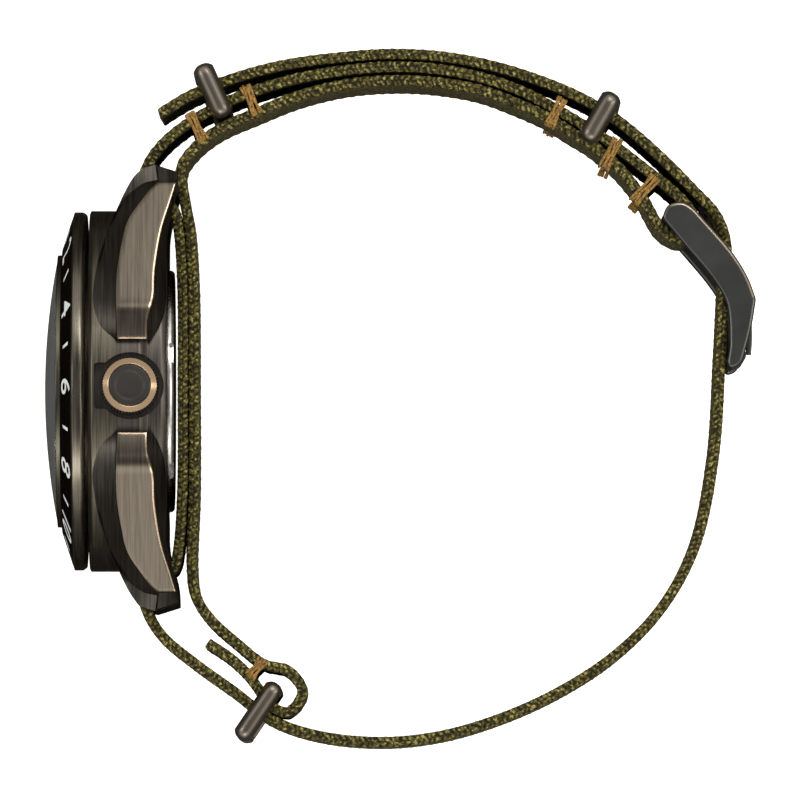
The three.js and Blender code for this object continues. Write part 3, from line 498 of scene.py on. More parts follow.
# case
case = {
    "widest": (22.3, 22.0),       # half width on the crown side and on the 9 o'clock side
    "shoulder": 9.0,              # where the plan starts to taper
    "tip": (25.7, 15.5),          # lug tip: along, half width
    "lugInside": 11.1,
    "bevel": 0.3,
    # [along, outer height, root along, root height, root half width] on the dial side
    "dialSide": [[5.35, 1.56, 5.3, 1.8, 20.6], [10.2, 1.74, 11, 4.4, 18.4], [13.3, 1.65, 13.6, 4.0, 16.8],
                 [17.1, 1.05, 18.2, 2.7, 14.9], [19.9, 0.19, 21.4, 1.4, 14.6],
                 [21.9, -1.19, 24.0, 0.1, 14.3], [23.2, -2.2, 25.5, -1.3, 14.0],
                 [24.0, -3.1, 26.05, -2.8, 13.9]],
    # the raised face's outline on the dial side: [along, height, half width]
    "outline": [[5.3, 1.56, 20.95], [6.8, 3.3, 20.5], [8.5, 4.06, 19.9], [10.2, 4.4, 19.1],
                [12.3, 4.23, 17.85], [15.7, 3.63, 15.2], [18.5, 2.6, 14.75], [21.1, 1.2, 14.6],
                [22.8, -0.16, 14.6], [23.8, -1.5, 14.7], [24.15, -3.1, 14.8]],
    "backSide": [[5.35, -2.05, 5.3, -2.4, 20.6], [8.6, -2.3, 8.4, -3.9, 19.2], [9.9, -2.7, 9.9, -4.1, 18.5],
                 [12.5, -2.87, 12.5, -4.1, 17.1], [15.7, -3.2, 15.7, -4.2, 15.2],
                 [18.8, -3.78, 19.2, -4.4, 14.8], [21.6, -4.64, 22.6, -5.3, 14.3],
                 [24.0, -5.35, 25.2, -5.5, 13.9]],
}


caseSurfaces = (caseAlong, caseDark, casePaintedHighlight, caseMiddle)


def halfWidth(along, widest):
    # nearly level to the shoulder, then straight down to the lug tip, blended over 2 mm
    tipAlong, tipHalf = case["tip"]
    near = widest - 0.35 * (1 - along / case["shoulder"])
    far = widest + (tipHalf - widest) * (along - case["shoulder"]) / (tipAlong - case["shoulder"])
    blend = np.clip((along - case["shoulder"] + 1.2) / 2.4, 0, 1)
    nose = 0.034 * np.maximum(8.8 - along, 0) ** 2
    return near + (far - near) * blend * blend * (3 - 2 * blend) - nose


def flank(side, end, widest):
    # a grid over the outer face between its dial-side and back-side lines; a rounded border,
    # the facets down to the root line, and a matching grid inside at the lug's inner wall
    rows, cols = 72, 12
    u = np.linspace(0, 1, rows)[:, None]
    v = np.linspace(0, 1, cols)[None, :]
    upper, lower = np.array(case["dialSide"]), np.array(case["backSide"])
    table = {}
    for key, line in (("top", upper), ("low", lower)):
        at = line[0, 0] + (line[-1, 0] - line[0, 0]) * u[:, 0]
        table[key] = np.stack([at] + [through(line[:, [0, k]], at) for k in (1, 2, 3, 4)],
                              -1)[:, None, :]
    outline = table["top"] * (1 - v[..., None]) + table["low"] * v[..., None]
    along, height, rootAlong, rootHeight, rootHalf = np.moveaxis(outline, -1, 0)
    b = case["bevel"]
    start, stop = along[0, 0], along[-1, 0]

    def shrunk(by):
        # the same grid pulled in from its border by a distance
        y = (along - start) / (stop - start) * (stop - start - 2 * by) + start + by
        thick = table["top"][..., 1] - table["low"][..., 1]
        z = table["top"][..., 1] - by - (thick - 2 * by) * v
        return y, z

    points, faces, kinds = [], [], []
    y0, z0 = shrunk(b)
    points.append(np.stack([halfWidth(y0, widest), y0, z0], -1).reshape(-1, 3))
    quads = gridQuads(rows, cols)
    faces += quads.tolist()
    kinds += [0] * len(quads)
    index = np.arange(rows * cols).reshape(rows, cols)
    loop = np.concatenate([index[:, 0], index[-1, 1:], index[-2::-1, -1], index[0, -2:0:-1]])
    n = len(loop)
    rings = []
    for by, drop in ((b * 0.4, b * 0.12), (b * 0.1, b * 0.5), (0, b)):
        y, z = shrunk(by)
        rings.append(np.stack([halfWidth(y, widest) - drop, y, z], -1).reshape(-1, 3)[loop])
    root = np.stack([rootHalf, rootAlong, rootHeight], -1).reshape(-1, 3)[loop]
    inside = root.copy()
    inside[:, 0] = case["lugInside"]
    outerRing = rings[-1]
    foot = outerRing + (root - outerRing) * 0.94
    # on the dial side the facet stops at its own outline, a little proud of the lug behind it
    line, _ = spline(case["outline"], 0.05)
    share = np.linspace(0, 1, len(line))
    onLine = np.stack([np.interp(u[:, 0] ** 0.9, share, line[:, k]) for k in (2, 0, 1)], -1)
    foot[:rows] = onLine
    step = foot.copy()
    step[:, 0] -= 0.35
    step[:rows, 1:] += (root[:rows, 1:] - onLine[:, 1:]) * 0.06
    rings += [foot, step, root, inside]
    base = rows * cols
    before = loop
    for number, ringPoints in enumerate(rings):
        here = np.arange(n) + base
        k = np.arange(n)
        k2 = (k + 1) % n
        faces += np.stack([before[k], here[k], here[k2], before[k2]], -1).tolist()
        # painted highlight along the back edge and the end beside the crown, plain along the dial side
        kinds += [(2 if order >= rows + cols - 2 else 0) if number < 3 else 1 for order in range(n)]
        points.append(ringPoints)
        before = here
        base += n
    innerGrid = np.stack([np.full((rows, cols), case["lugInside"]), rootAlong, rootHeight], -1)
    points.append(innerGrid.reshape(-1, 3))
    faces += (gridQuads(rows, cols, start=base)[:, ::-1]).tolist()
    kinds += [1] * len(quads)
    points = np.concatenate(points)
    piece = putMesh("flank", fromHead(side * points[:, 0], end * points[:, 1], points[:, 2]), faces)
    return fixNormals(withKinds(piece, kinds, caseSurfaces))


shell = turned("shell", [
    [13.4, -3.77, 0], [14, -3.77, 0], [14, -4.17, 0.05], [20.4, -4.17, 0.1], [20.8, -3.67, 0.2],
    [20.8, -2, 0.1], [21.6, -1.2, 0.25], [21.6, 1.6, 0], [21.6, 4.5, 0.15], [20.95, 5, 0.15], [16, 5, 0.05],
    [16, 8.8, 0.1], [15.45, 8.8, 0.1], [15.45, 3.7, 0], [13.4, 3.7, 0]], 256)
withKinds(shell, 3, caseSurfaces)
centers = np.empty(len(shell.data.polygons) * 3)
shell.data.polygons.foreach_get("center", centers)
shell.data.polygons.foreach_set("material_index", np.where(centers[::3] / mm > -1.58, 1, 3).astype(np.int32))
sails = [flank(side, end, case["widest"][0 if side > 0 else 1])
         for side in (1, -1) for end in (1, -1)]
hollow = turnedSolid("hollow", [[0, -8, 0], [14.02, -8, 0], [14.02, -3.7, 0], [13.6, -3.7, 0],
                                [13.6, 3.6, 0], [15.7, 3.6, 0], [15.7, 10, 0], [0, 10, 0]], 96)
flat = prism("flat", rounded([[-9, -2.2, 0.3], [9, -2.2, 0.3], [9, 2.2, 0.3], [-9, 2.2, 0.3]]),
             -22, -19.4, lambda y, z, x: fromHead(x, y, z))


def barX(name, radius, low, high, along, level, sides=48):
    # a round bar along the crown's direction
    angle = np.linspace(0, 2 * np.pi, sides, endpoint=False)
    return prism(name, np.stack([along + radius * np.cos(angle), level + radius * np.sin(angle)], -1),
                 low, high, lambda y, z, x: fromHead(x, y, z))


caseBody = sails[0]
caseBody.name = "case"
for sail in sails[1:]:
    cut(caseBody, [sail], "UNION")
cut(caseBody, [withKinds(hollow, 1, caseSurfaces)], "DIFFERENCE")
cut(caseBody, [shell, withKinds(flat, 0, caseSurfaces)], "UNION")
for end in (1, -1):
    arc = np.linspace(-0.56, 0.56, 60)
    channel = np.concatenate([np.stack([21.2 * np.sin(arc), end * 21.2 * np.cos(arc)], -1),
                              [[11.13, end * 30], [-11.13, end * 30]]])
    channel[:60, 0] = np.clip(channel[:60, 0], -11.13, 11.13)
    keep = np.concatenate([[True], np.linalg.norm(np.diff(channel, axis=0), axis=1) > 0.01])
    channel = channel[keep]
    slot = prism("channel", channel, -9, 9, fromHead)
    cut(caseBody, [withKinds(slot, 1, caseSurfaces)], "DIFFERENCE")
    cut(caseBody, [withKinds(barX("hole", 0.85, -13.1, 13.1, end * 24.1, -3.6), 1, caseSurfaces)],
        "DIFFERENCE")
pocket = barX("pocket", 3.9, 19.9, 30, 0, 0, 96)
pocketFront = prism("pocketFront", rounded([[-2.7, 0, 0], [2.7, 0, 0], [2.7, 4.2, 0.5],
                                            [-2.7, 4.2, 0.5]]), 19.91, 30,
                    lambda y, z, x: fromHead(x, y, z))
cut(caseBody, [withKinds(t, 1, caseSurfaces) for t in
               (pocket, pocketFront, barX("tube", 1.35, 11.4, 30, 0, 0))], "DIFFERENCE")
setAngle(caseBody, 28)
smoothing = caseBody.modifiers.new("smoothing", "WEIGHTED_NORMAL")
smoothing.keep_sharp = True
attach(caseBody, "watch")
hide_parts("case_body")
print("case made:", len(caseBody.data.polygons), "faces")

# bezel
bezel = {
    "radius": 21.05, "sideTop": 6.8, "slope": 0.33, "rim": 0.35, "insert": (16.6, 20.6),
}


def slopeLevel(radius):
    return bezel["sideTop"] + (bezel["radius"] - radius) * bezel["slope"]


rimRadius = bezel["radius"] - bezel["rim"]
bezelPiece = turned("bezel", [
    [16.15, 5.7, 0.05], [18.1, 5.7, 0], [18.1, 6.1, 0], [20.1, 6.1, 0], [20.1, 5.3, 0.05],
    [20.7, 5.3, 0.1], [21.05, 5.75, 0.2], [21.05, 6.8, 0.12], [rimRadius, slopeLevel(rimRadius), 0.05],
    [rimRadius, slopeLevel(rimRadius) - 0.7, 0], [16.5, slopeLevel(16.6) - 0.7, 0],
    [16.5, slopeLevel(16.6), 0.05], [16.15, slopeLevel(16.15) - 0.1, 0.1]], 256)
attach(shade(bezelPiece, bezelSurface), "bezel")
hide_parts("bezel_ring")

insertInner, insertOuter = bezel["insert"]
insert = turned("insert", [
    [insertInner, slopeLevel(insertInner) - 0.6, 0.05], [insertOuter, slopeLevel(insertOuter) - 0.6, 0.05],
    [insertOuter, slopeLevel(insertOuter), 0.08], [insertInner, slopeLevel(insertInner), 0.08]], 256)
# anodised insert: dark brown, with a slow warm cloud in tone and a fine grain in roughness
insertSurface = Surface("insert", (0.03, 0.024, 0.02), 0.4, 1.0, Specular_Tint=(0.2, 0.17, 0.14, 1))
insertGrain = insertSurface.noise(8000, (1, 0.05, 1), 2)
insertSurface.set(
    Base_Color=insertSurface.mix(insertSurface.noise(90), (0.018, 0.015, 0.013), (0.05, 0.04, 0.032)),
    Roughness=insertGrain * 0.14 + 0.34)
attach(shade(insert, insertSurface), "bezel")
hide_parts("bezel_insert")


def wrapped(x, y, height, middle, angle, level):
    # flat x (clockwise) and y (outwards) laid on a turned surface at an angle from 12 o'clock
    radius = middle + y
    a = angle + x / middle
    return fromHead(radius * np.sin(a), radius * np.cos(a), level(radius) + height)


def wordPlates(name, words, size, stretch, middle, level, thickness):
    # each word is set in the plain built-in face, made a mesh and laid in place
    plates = []
    for text, angle in words:
        curve = bpy.data.curves.new("word", "FONT")
        curve.body, curve.size = text, 1
        curve.align_x, curve.align_y = "CENTER", "CENTER"
        curve.extrude, curve.offset = 0.5, 0.003
        holder = bpy.data.objects.new("word", curve)
        bpy.context.scene.collection.objects.link(holder)
        graph = bpy.context.evaluated_depsgraph_get()
        mesh = bpy.data.meshes.new_from_object(holder.evaluated_get(graph))
        bpy.data.objects.remove(holder)
        bpy.data.curves.remove(curve)
        co = np.empty(len(mesh.vertices) * 3)
        mesh.vertices.foreach_get("co", co)
        co = co.reshape(-1, 3)
        middleX = (co[:, 0].min() + co[:, 0].max()) / 2
        middleY = (co[:, 1].min() + co[:, 1].max()) / 2
        tall = co[:, 1].max() - co[:, 1].min()
        x = (co[:, 0] - middleX) * size / tall * stretch
        y = (co[:, 1] - middleY) * size / tall
        points = wrapped(x, y, co[:, 2] * thickness, middle, angle, level)
        plate = putMesh("word", points, [list(p.vertices) for p in mesh.polygons], False)
        bpy.data.meshes.remove(mesh)
        plates.append(fixNormals(plate))
    piece = join(name, plates)
    return setAngle(piece, 30)


def bars(name, marks, level, thickness):
    # short solid bars on a turned surface: [angle, inner radius, outer radius, half width]
    plates = []
    for angle, inner, outer, half in marks:
        steps = np.linspace(-1, 1, 4)
        x, y = np.meshgrid(steps * half, np.linspace(inner, outer, 4), indexing="ij")
        faces = gridQuads(4, 4)
        radius, a = y, angle + x / ((inner + outer) / 2)
        top = fromHead(radius * np.sin(a), radius * np.cos(a), level(radius) + thickness)
        low = fromHead(radius * np.sin(a), radius * np.cos(a), level(radius) - thickness)
        border = [0, 1, 2, 3, 7, 11, 15, 14, 13, 12, 8, 4]
        sides = [[border[k - 1], border[k], border[k] + 16, border[k - 1] + 16] for k in range(12)]
        points = np.concatenate([top.reshape(-1, 3), low.reshape(-1, 3)])
        plates.append(fixNormals(putMesh("bar", points, faces.tolist()
                                         + (faces[:, ::-1] + 16).tolist() + sides, False)))
    return join(name, plates)


# printed figures: an even white with a faint noise in roughness, and a weak emission that paints a glow on
# them
printWhiteGlow = Surface("figures", (0.8, 0.87, 0.87), 0.45, Emission_Color=(0.8, 0.9, 0.9, 1),
                     Emission_Strength=0.15)
printWhiteGlow.set(Roughness=printWhiteGlow.noise(3000) * 0.2 + 0.4)
hourStep = math.radians(15)
figures = wordPlates("figures", [(str(h), h * hourStep) for h in range(2, 24, 2)], 3.1, 1.0, 18.75,
                     slopeLevel, 0.04)
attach(shade(figures, printWhiteGlow), "bezel")
dashes = bars("dashes", [(h * hourStep, 17.7, 19.5, 0.19) for h in range(1, 24, 2)], slopeLevel, 0.02)
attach(shade(dashes, printWhiteGlow), "bezel")
pointer = prism("pointer", [[-1.5, 1.3], [1.5, 1.3], [0, -1.4]], -0.02, 0.02,
                lambda x, y, z: wrapped(x, y, z, 18.6, 0, slopeLevel))
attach(shade(pointer, printWhiteGlow), "bezel")
print("bezel made")


# crystal, chapter ring and dial
crystal = {"radius": 15.05, "under": 7.4, "edge": 8.9, "top": 10.3}
arch = np.linspace(1, 0, 24)[:, None]
domeLine = np.concatenate([arch, crystal["edge"] + (crystal["top"] - crystal["edge"]) * (1 - arch**2)], 1)
domeLine[:, 0] *= crystal["radius"]
profile = [[0, crystal["under"], 0], [15.0, crystal["under"], 0.1], [15.05, crystal["edge"] - 0.1, 0]]
profile += [[r, z, 0] for r, z in domeLine]
dome = turnedSolid("crystal", profile, 160)
# glass: clear with a grey-blue tint, a faint noise in roughness
glass = Surface("crystal", (0.72, 0.8, 0.84), 0.03, Transmission_Weight=0.93, IOR=1.6)
glass.set(Roughness=glass.noise(400) * 0.03 + 0.015)
# light on its way to a lamp or to matt surfaces passes straight through the glass
rays = glass.node("ShaderNodeLightPath", output="Is Shadow Ray")
softRays = glass.node("ShaderNodeLightPath", output="Is Diffuse Ray")
clear = glass.node("ShaderNodeBsdfTransparent", {}, {"Color": (0.85, 0.9, 0.92, 1)})
litOrSeen = glass.tree.nodes.new("ShaderNodeMixShader")
glass.tree.links.new((rays + softRays).clamp(0, 1).socket, litOrSeen.inputs[0])
glass.tree.links.new(glass.shader.outputs[0], litOrSeen.inputs[1])
glass.tree.links.new(clear.socket, litOrSeen.inputs[2])
glass.tree.links.new(litOrSeen.outputs[0], glass.tree.nodes["Material Output"].inputs[0])
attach(shade(dome, glass), "watch")
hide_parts("crystal")

# dark soft rubber: a fine noise in height and in roughness
rubber = Surface("rubber", (0.012, 0.012, 0.013), 0.7)
rubber.set(Roughness=rubber.noise(5000) * 0.2 + 0.6)
rubber.bump(rubber.noise(9000), 0.00001, 0.4)
gasket = turned("gasket", [[15.1, 7.4, 0.05], [15.4, 7.4, 0.05], [15.4, 8.8, 0.1], [15.1, 8.85, 0.1]], 160)
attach(shade(gasket, rubber), "watch")
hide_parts("crystal_gasket")

# matt black: a slow noise in tone and a fine one in roughness
dialBlack = Surface("dial black", (0.008, 0.009, 0.011), 0.5)
dialBlack.set(Base_Color=dialBlack.mix(dialBlack.noise(700), (0.006, 0.007, 0.009), (0.014, 0.015, 0.018)),
              Roughness=dialBlack.noise(6000) * 0.2 + 0.4)
chapter = turned("chapter", [[12.8, 4.0, 0.02], [15.25, 4.0, 0.02], [15.25, 7.1, 0.05],
                             [14.2, 7.1, 0.1]], 192)
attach(shade(chapter, dialBlack), "watch")
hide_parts("chapter_ring")
dial = turned("dial", [[1.71, 3.2, 0.02], [13.1, 3.2, 0.02], [13.1, 3.6, 0.04], [1.71, 3.6, 0.04]], 192)
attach(shade(dial, dialBlack), "watch")
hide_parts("dial")

lume = Surface("luminous", (0.62, 0.72, 0.6), 0.55)
lume.set(Base_Color=lume.mix(lume.noise(3000), (0.55, 0.66, 0.54), (0.7, 0.78, 0.68)),
         Roughness=lume.noise(5000) * 0.2 + 0.45)
minuteStep = math.radians(6)


def dialLevel(radius):
    return 3.6 + 0 * radius


def chapterLevel(radius):
    return 4.0 + (radius - 12.8) * (7.1 - 4.0) / (14.2 - 12.8)


hourMarks = bars("hourMarks", [(k * 5 * minuteStep, 9.4, 12.0, 0.5) for k in range(1, 12)]
                 + [(0.055, 9.4, 12.0, 0.4), (-0.055, 9.4, 12.0, 0.4)], dialLevel, 0.2)
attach(shade(hourMarks, lume), "watch")
track = bars("minuteTrack", [(k * minuteStep, 13.0, 13.7, 0.07 if k % 5 else 0.16)
                             for k in range(60)], chapterLevel, 0.02)
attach(shade(track, printWhiteGlow), "watch")
print("dial made")


# hands
def hand(name, hub, bore, level, reach, width, tail, body, node, surface, lumePart=None):
    # a flat pointed blade with soft edges on a round hub with its hole
    outline = [[-width / 2, -tail], [width / 2, -tail], [width / 2, reach * 0.75], [0, reach],
               [-width / 2, reach * 0.75]]
    blade = prism(name, outline, level, level + 0.15, fromHead)
    angle = np.linspace(0, 2 * np.pi, 64, endpoint=False)
    disc = prism("hub", np.stack([hub * np.cos(angle), hub * np.sin(angle)], -1), level - 0.001,
                 level + 0.151, fromHead)
    hole = prism("hole", np.stack([bore * np.cos(angle), bore * np.sin(angle)], -1), level - 1,
                 level + 1, fromHead)
    cut(blade, [disc], "UNION")
    cut(blade, [hole], "DIFFERENCE")
    setAngle(soften(blade, 0.03, 2), 30)
    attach(shade(blade, surface), body)
    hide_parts(node)
    if lumePart:
        low, high, half = lumePart
        strip = prism(name + "Lume", rounded([[-half, low, 0.2], [half, low, 0.2], [half, high, 0.2],
                                              [-half, high, 0.2]]), level + 0.14, level + 0.19, fromHead)
        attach(shade(strip, lume), body)


handSteel = satin("hand steel", (0.6, 0.61, 0.62), 0.25)
# bright orange-red enamel with a faint noise in roughness
gmtPaint = Surface("second zone paint", (0.45, 0.07, 0.03), 0.35)
gmtPaint.set(Roughness=gmtPaint.noise(4000) * 0.15 + 0.28)
hand("gmtHand", 2, 1.61, 3.9, 11.4, 0.7, 0, "gmt", "gmt_hand", gmtPaint)
hand("hourHand", 1.8, 1.27, 4.3, 8, 1.5, 0, "hour", "hour_hand", handSteel, (2.4, 5.6, 0.45))
hand("minuteHand", 1.5, 0.93, 4.7, 11.6, 1.2, 0, "minute", "minute_hand", handSteel, (2.4, 8.4, 0.35))
hand("secondHand", 0.8, 0.25, 5.1, 12.2, 0.3, 3.5, "seconds", "second_hand", handSteel)
print("hands made")


# crown
crown = {"teeth": 56, "depth": 0.2}


def knurl(angle, radius, level):
    # the rim waves in and out with a folded sine, full between the foot and the tip's bevel
    share = np.clip((level - 20.7) / 0.15, 0, 1) * np.clip((23.87 - level) / 0.1, 0, 1)
    ridge = np.abs(np.sin(angle * crown["teeth"] / 2))
    return radius - crown["depth"] * (1 - ridge) * share * (radius > 3.14)


crownPiece = turnedSolid("crown", [
    [0, 22.8, 0], [0.65, 22.8, 0], [0.65, 22, 0], [1.7, 22, 0], [1.7, 20.4, 0.05], [3.1, 20.4, 0.1],
    [3.4, 20.7, 0.05], [3.42, 20.85, 0], [3.43, 22, 0], [3.42, 23.55, 0.1], [3.28, 23.75, 0],
    [3.17, 23.84, 0.03], [3.12, 23.88, 0.02], [2.52, 24.34, 0.08], [2.46, 24.34, 0.02],
    [2.43, 24.22, 0.02], [2.35, 24.22, 0.02], [2.3, 24.36, 0.03],
    [1.75, 24.37, 0.02], [1.72, 24.34, 0], [1.6, 24.34, 0], [1.57, 24.37, 0.02],
    [0.8, 24.38, 0], [0, 24.38, 0]], 768, fromCrown, knurl)
withKinds(crownPiece, 0, (crownSurface, crownPaintedHighlight))
centers = np.empty(len(crownPiece.data.polygons) * 3)
crownPiece.data.polygons.foreach_get("center", centers)
centers = centers.reshape(-1, 3) / mm
far = np.hypot(centers[:, 0], centers[:, 1])
# the tip's bevel faces take the painted highlight
bevelHighlight = (far > 2.44) & (far < 3.13) & (centers[:, 2] - dialAxisHeight > 23.87)
crownPiece.data.polygons.foreach_set("material_index", bevelHighlight.astype(int))
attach(crownPiece, "crown")
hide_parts("crown")
print("crown made")


# case back
back = {"face": -4.95, "seat": -4.25, "inner": -3.7, "plug": 13.2}
backPiece = turnedSolid("caseBack", [
    [0, back["face"], 0], [11.2, back["face"], 0.1], [11.25, back["face"] + 0.06, 0.02],
    [11.45, back["face"] + 0.06, 0.02], [11.5, back["face"], 0.05], [13.9, back["face"], 0.15],
    [14.2, back["face"] + 0.3, 0.15], [14.2, back["seat"], 0.03], [back["plug"], back["seat"], 0.02],
    [back["plug"], back["inner"], 0.05], [0, back["inner"], 0]], 256)
for k in range(6):
    turn = math.radians(17 + 60 * k)
    box = np.array([[13.3, -1.15], [15.5, -1.15], [15.5, 1.15], [13.3, 1.15]])
    across = box[:, 0] * math.cos(turn) - box[:, 1] * math.sin(turn)
    along = box[:, 0] * math.sin(turn) + box[:, 1] * math.cos(turn)
    cut(backPiece, [prism("notch", np.stack([across, along], -1), -6, -4.45, fromHead)], "DIFFERENCE")
setAngle(backPiece, 30)
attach(shade(backPiece, steelBrushed), "watch")
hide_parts("back_cover")
print("case back made")

# strap
strap = {
    "width": 21.9, "thickness": 1.22, "yarn": 0.72, "relief": 0.15, "step": 0.14,
    "main": [[59.8, 22.4], [62.2, 18.5], [64.5, 17.55], [65.9, 19.5], [64.9, 21.5], [62.7, 23.65],
             [59.6, 26.1], [56.2, 28.7], [52.8, 30.9], [49.4, 32.9], [45, 35.1], [38.5, 37], [31.4, 37.7],
             [24.4, 37.2], [17.3, 35.8], [11.2, 33.6], [6.5, 31], [3.6, 28.6], [1.9, 26.2],
             [1.4, 23.9], [2.3, 22.4], [3.8, 21.75], [4.95, 20.9], [5.5, 18.6], [5.95, 12], [6, 0],
             [5.95, -12], [5.5, -18.6], [4.95, -20.9], [3.8, -21.75], [2.3, -22.4], [1.4, -23.9],
             [1.9, -26.2], [3.6, -28.9], [7.4, -32.1], [12, -35.4], [16.6, -38.8], [22, -40.6],
             [29.3, -41.3], [36.1, -40.6], [43, -38.6], [49.9, -35.5], [56.5, -31.2], [62, -25.6],
             [65.9, -18.4], [68.1, -8], [68.9, 4], [69.3, 12], [69.55, 17], [68.4, 20.3],
             [65.7, 23.3], [61.4, 27.6], [56.5, 31.7], [52.3, 34.2], [45.4, 36.9], [38.4, 38.6],
             [31.4, 39.2], [24.4, 38.8], [17.3, 37.8], [11.5, 36.2], [6.8, 34.3], [3.3, 32.2]],
    "short": [[60.0, 22.2], [57.15, 25.7], [53.9, 28.5], [51.3, 30.1], [48.6, 31.8], [44.8, 33.5],
              [41, 34.9], [36.2, 35.8], [31.4, 36.1], [25.5, 35.7], [19.6, 34.3], [14.8, 32.4],
              [10.1, 30.3], [7.2, 28], [5.8, 25.8], [6.15, 22.3], [6.75, 19], [7.2, 12], [7.3, 0],
              [7.3, -12], [7.05, -21], [7.5, -24.2], [9.2, -26.9], [12.5, -29.9], [15.5, -32.2],
              [18.4, -33], [20, -35.4], [18.3, -37.8], [16.1, -36.9], [14.8, -35.0], [13.6, -33.4],
              [11.7, -31.6], [8.9, -29.7]],
}


def strapSection(count):
    # a flat band with round edges, as distances across the strap and through it
    half, thick = strap["width"] / 2, strap["thickness"] / 2
    arc = np.linspace(0, np.pi, 15)
    flatAt = np.linspace(-half + thick, half - thick, count)
    across = np.concatenate([flatAt, half - thick + thick * np.sin(arc), flatAt[::-1],
                             -half + thick - thick * np.sin(arc)])
    through = np.concatenate([np.full(count, thick), thick * np.cos(arc), np.full(count, -thick),
                              -thick * np.cos(arc)])
    return across, through


def weave(at, across, through):
    # height of the yarns, from 0 to 1. On the edges two rows of slanting yarns meet in a
    # chevron: a folded sine along the edge whose phase slides with the distance from the
    # middle, times a groove between the rows. On the faces, plain weave: the product of a
    # sine along and a sine across
    half, thick = strap["width"] / 2, strap["thickness"] / 2
    onEdge = np.clip((np.abs(across) - (half - thick)) / thick * 1.6, 0, 1)
    w = through / thick
    wander = 0.14 * np.sin(at * 1.7) + 0.1 * np.sin(at * 4.3 + 1) + 0.06 * np.sin(at * 9.1 + 3 * w)
    phase = (at + wander) / strap["yarn"] + 0.42 * np.abs(w) + np.where(w > 0, 0.5, 0)
    yarn = np.abs(np.sin(np.pi * phase)) ** 0.8
    row = np.clip(np.abs(w - 0.12 * np.sin(at * 3)) * 4 + 0.25, 0, 1)
    edge = yarn * row
    face = 0.5 + 0.5 * np.sin(np.pi * at / 0.6) * np.sin(np.pi * across / 0.6)
    return edge * onEdge + face * (1 - onEdge)


def woven(name, route, count):
    # the section carried along the route; the surface moves out by the weave's height and a
    # little the other way where thread pulls it in
    line, at = spline(route, strap["step"])
    slope = np.gradient(line, axis=0)
    slope /= np.linalg.norm(slope, axis=1)[:, None]
    normal = np.stack([-slope[:, 1], slope[:, 0]], -1)
    across, through = strapSection(count)
    # outward direction of the section, for the weave
    dAcross = np.roll(across, -1) - np.roll(across, 1)
    dThrough = np.roll(through, -1) - np.roll(through, 1)
    length = np.hypot(dAcross, dThrough)
    outAcross, outThrough = -dThrough / length, dAcross / length
    if (outThrough * through).sum() < 0:
        outAcross, outThrough = -outAcross, -outThrough
    height = weave(at[:, None], across[None], through[None])
    lift = (height - 0.6) * strap["relief"] * np.where(np.abs(through[None]) >= strap["thickness"] / 2 - 1e-6,
                                                       0.5, 1)
    lift[[0, -1]] -= 0.12
    t = through[None] + outThrough[None] * lift
    a = across[None] + outAcross[None] * lift
    x = line[:, :1] + normal[:, :1] * t
    y = line[:, 1:] + normal[:, 1:] * t
    points = np.stack([x, y, dialAxisHeight + a], -1)
    rows, cols = points.shape[:2]
    faces = gridQuads(rows, cols, closedCols=True)
    # closed ends: each end's points pair up across the strap's thickness
    caps = []
    for first in (0, (rows - 1) * cols):
        front = [first + i for i in range(count)]
        rear = [first + count + 15 + i for i in range(count)][::-1]
        strip = [[front[i], front[i + 1], rear[i + 1], rear[i]] for i in range(count - 1)]
        arcOne = [first + count + i for i in range(15)]
        arcTwo = [first + 2 * count + 15 + i for i in range(15)]
        strip += [[front[-1]] + arcOne + [rear[-1]], [rear[0]] + arcTwo + [front[0]]]
        caps += strip
    piece = putMesh(name, points, faces.tolist() + caps)
    uv = np.stack(np.broadcast_arrays(at[:, None], (np.cumsum(length) / 2)[None]), -1).reshape(-1, 2)
    loops = np.empty(len(piece.data.loops), np.int32)
    piece.data.loops.foreach_get("vertex_index", loops)
    layer = piece.data.uv_layers.new(name="cloth")
    layer.data.foreach_set("uv", uv[loops].ravel())
    # this height also paints shade into the nylon's hollows and highlights on its crowns
    yarnHeight = piece.data.attributes.new("yarnHeight", "FLOAT", "POINT")
    yarnHeight.data.foreach_set("value", height.ravel())
    bm = bmesh.new()
    bm.from_mesh(piece.data)
    bmesh.ops.recalc_face_normals(bm, faces=bm.faces)
    bm.to_mesh(piece.data)
    bm.free()
    return piece


# nylon: the yarns' height, kept with the mesh, paints shade into the hollows and a painted highlight on the
# crowns;
# fine noise adds fibres, and a coarser one lightens and darkens whole yarns
nylon = Surface("nylon", (0.09, 0.08, 0.02), 0.85, Sheen_Weight=0.03, Specular_IOR_Level=0.25)
yarnShadeHeight = nylon.node("ShaderNodeAttribute", {"attribute_name": "yarnHeight"}, output="Fac")
fibres = nylon.noise(9000, (1, 1, 1), 3)
speckle = nylon.noise(2900, detail=2)
tone = ((yarnShadeHeight - 0.3) * 1.1 + (speckle - 0.5) * 2.6 + (fibres - 0.5) * 0.8).clamp(0, 1)
# painted highlight on the highest yarn crowns, with random specks
light = ((yarnShadeHeight - 0.8) * 1.2 + (speckle - 0.55) * 6.0).clamp(0, 1)
nylon.set(Base_Color=nylon.mix(light, nylon.mix(tone, (0.01, 0.009, 0.002), (0.142, 0.122, 0.028)),
                               (0.44, 0.4, 0.13)),
          Roughness=fibres * 0.2 + 0.68)
nylon.bump(fibres + speckle, 0.00008, 0.8)

mainStrap = woven("strapMain", strap["main"], 34)
shortStrap = woven("strapShort", strap["short"], 24)
for piece, node in ((mainStrap, "strap_main"), (shortStrap, "strap_short")):
    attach(shade(piece, nylon), "watch")
    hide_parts(node)
print("straps made:", len(mainStrap.data.polygons) + len(shortStrap.data.polygons), "faces")


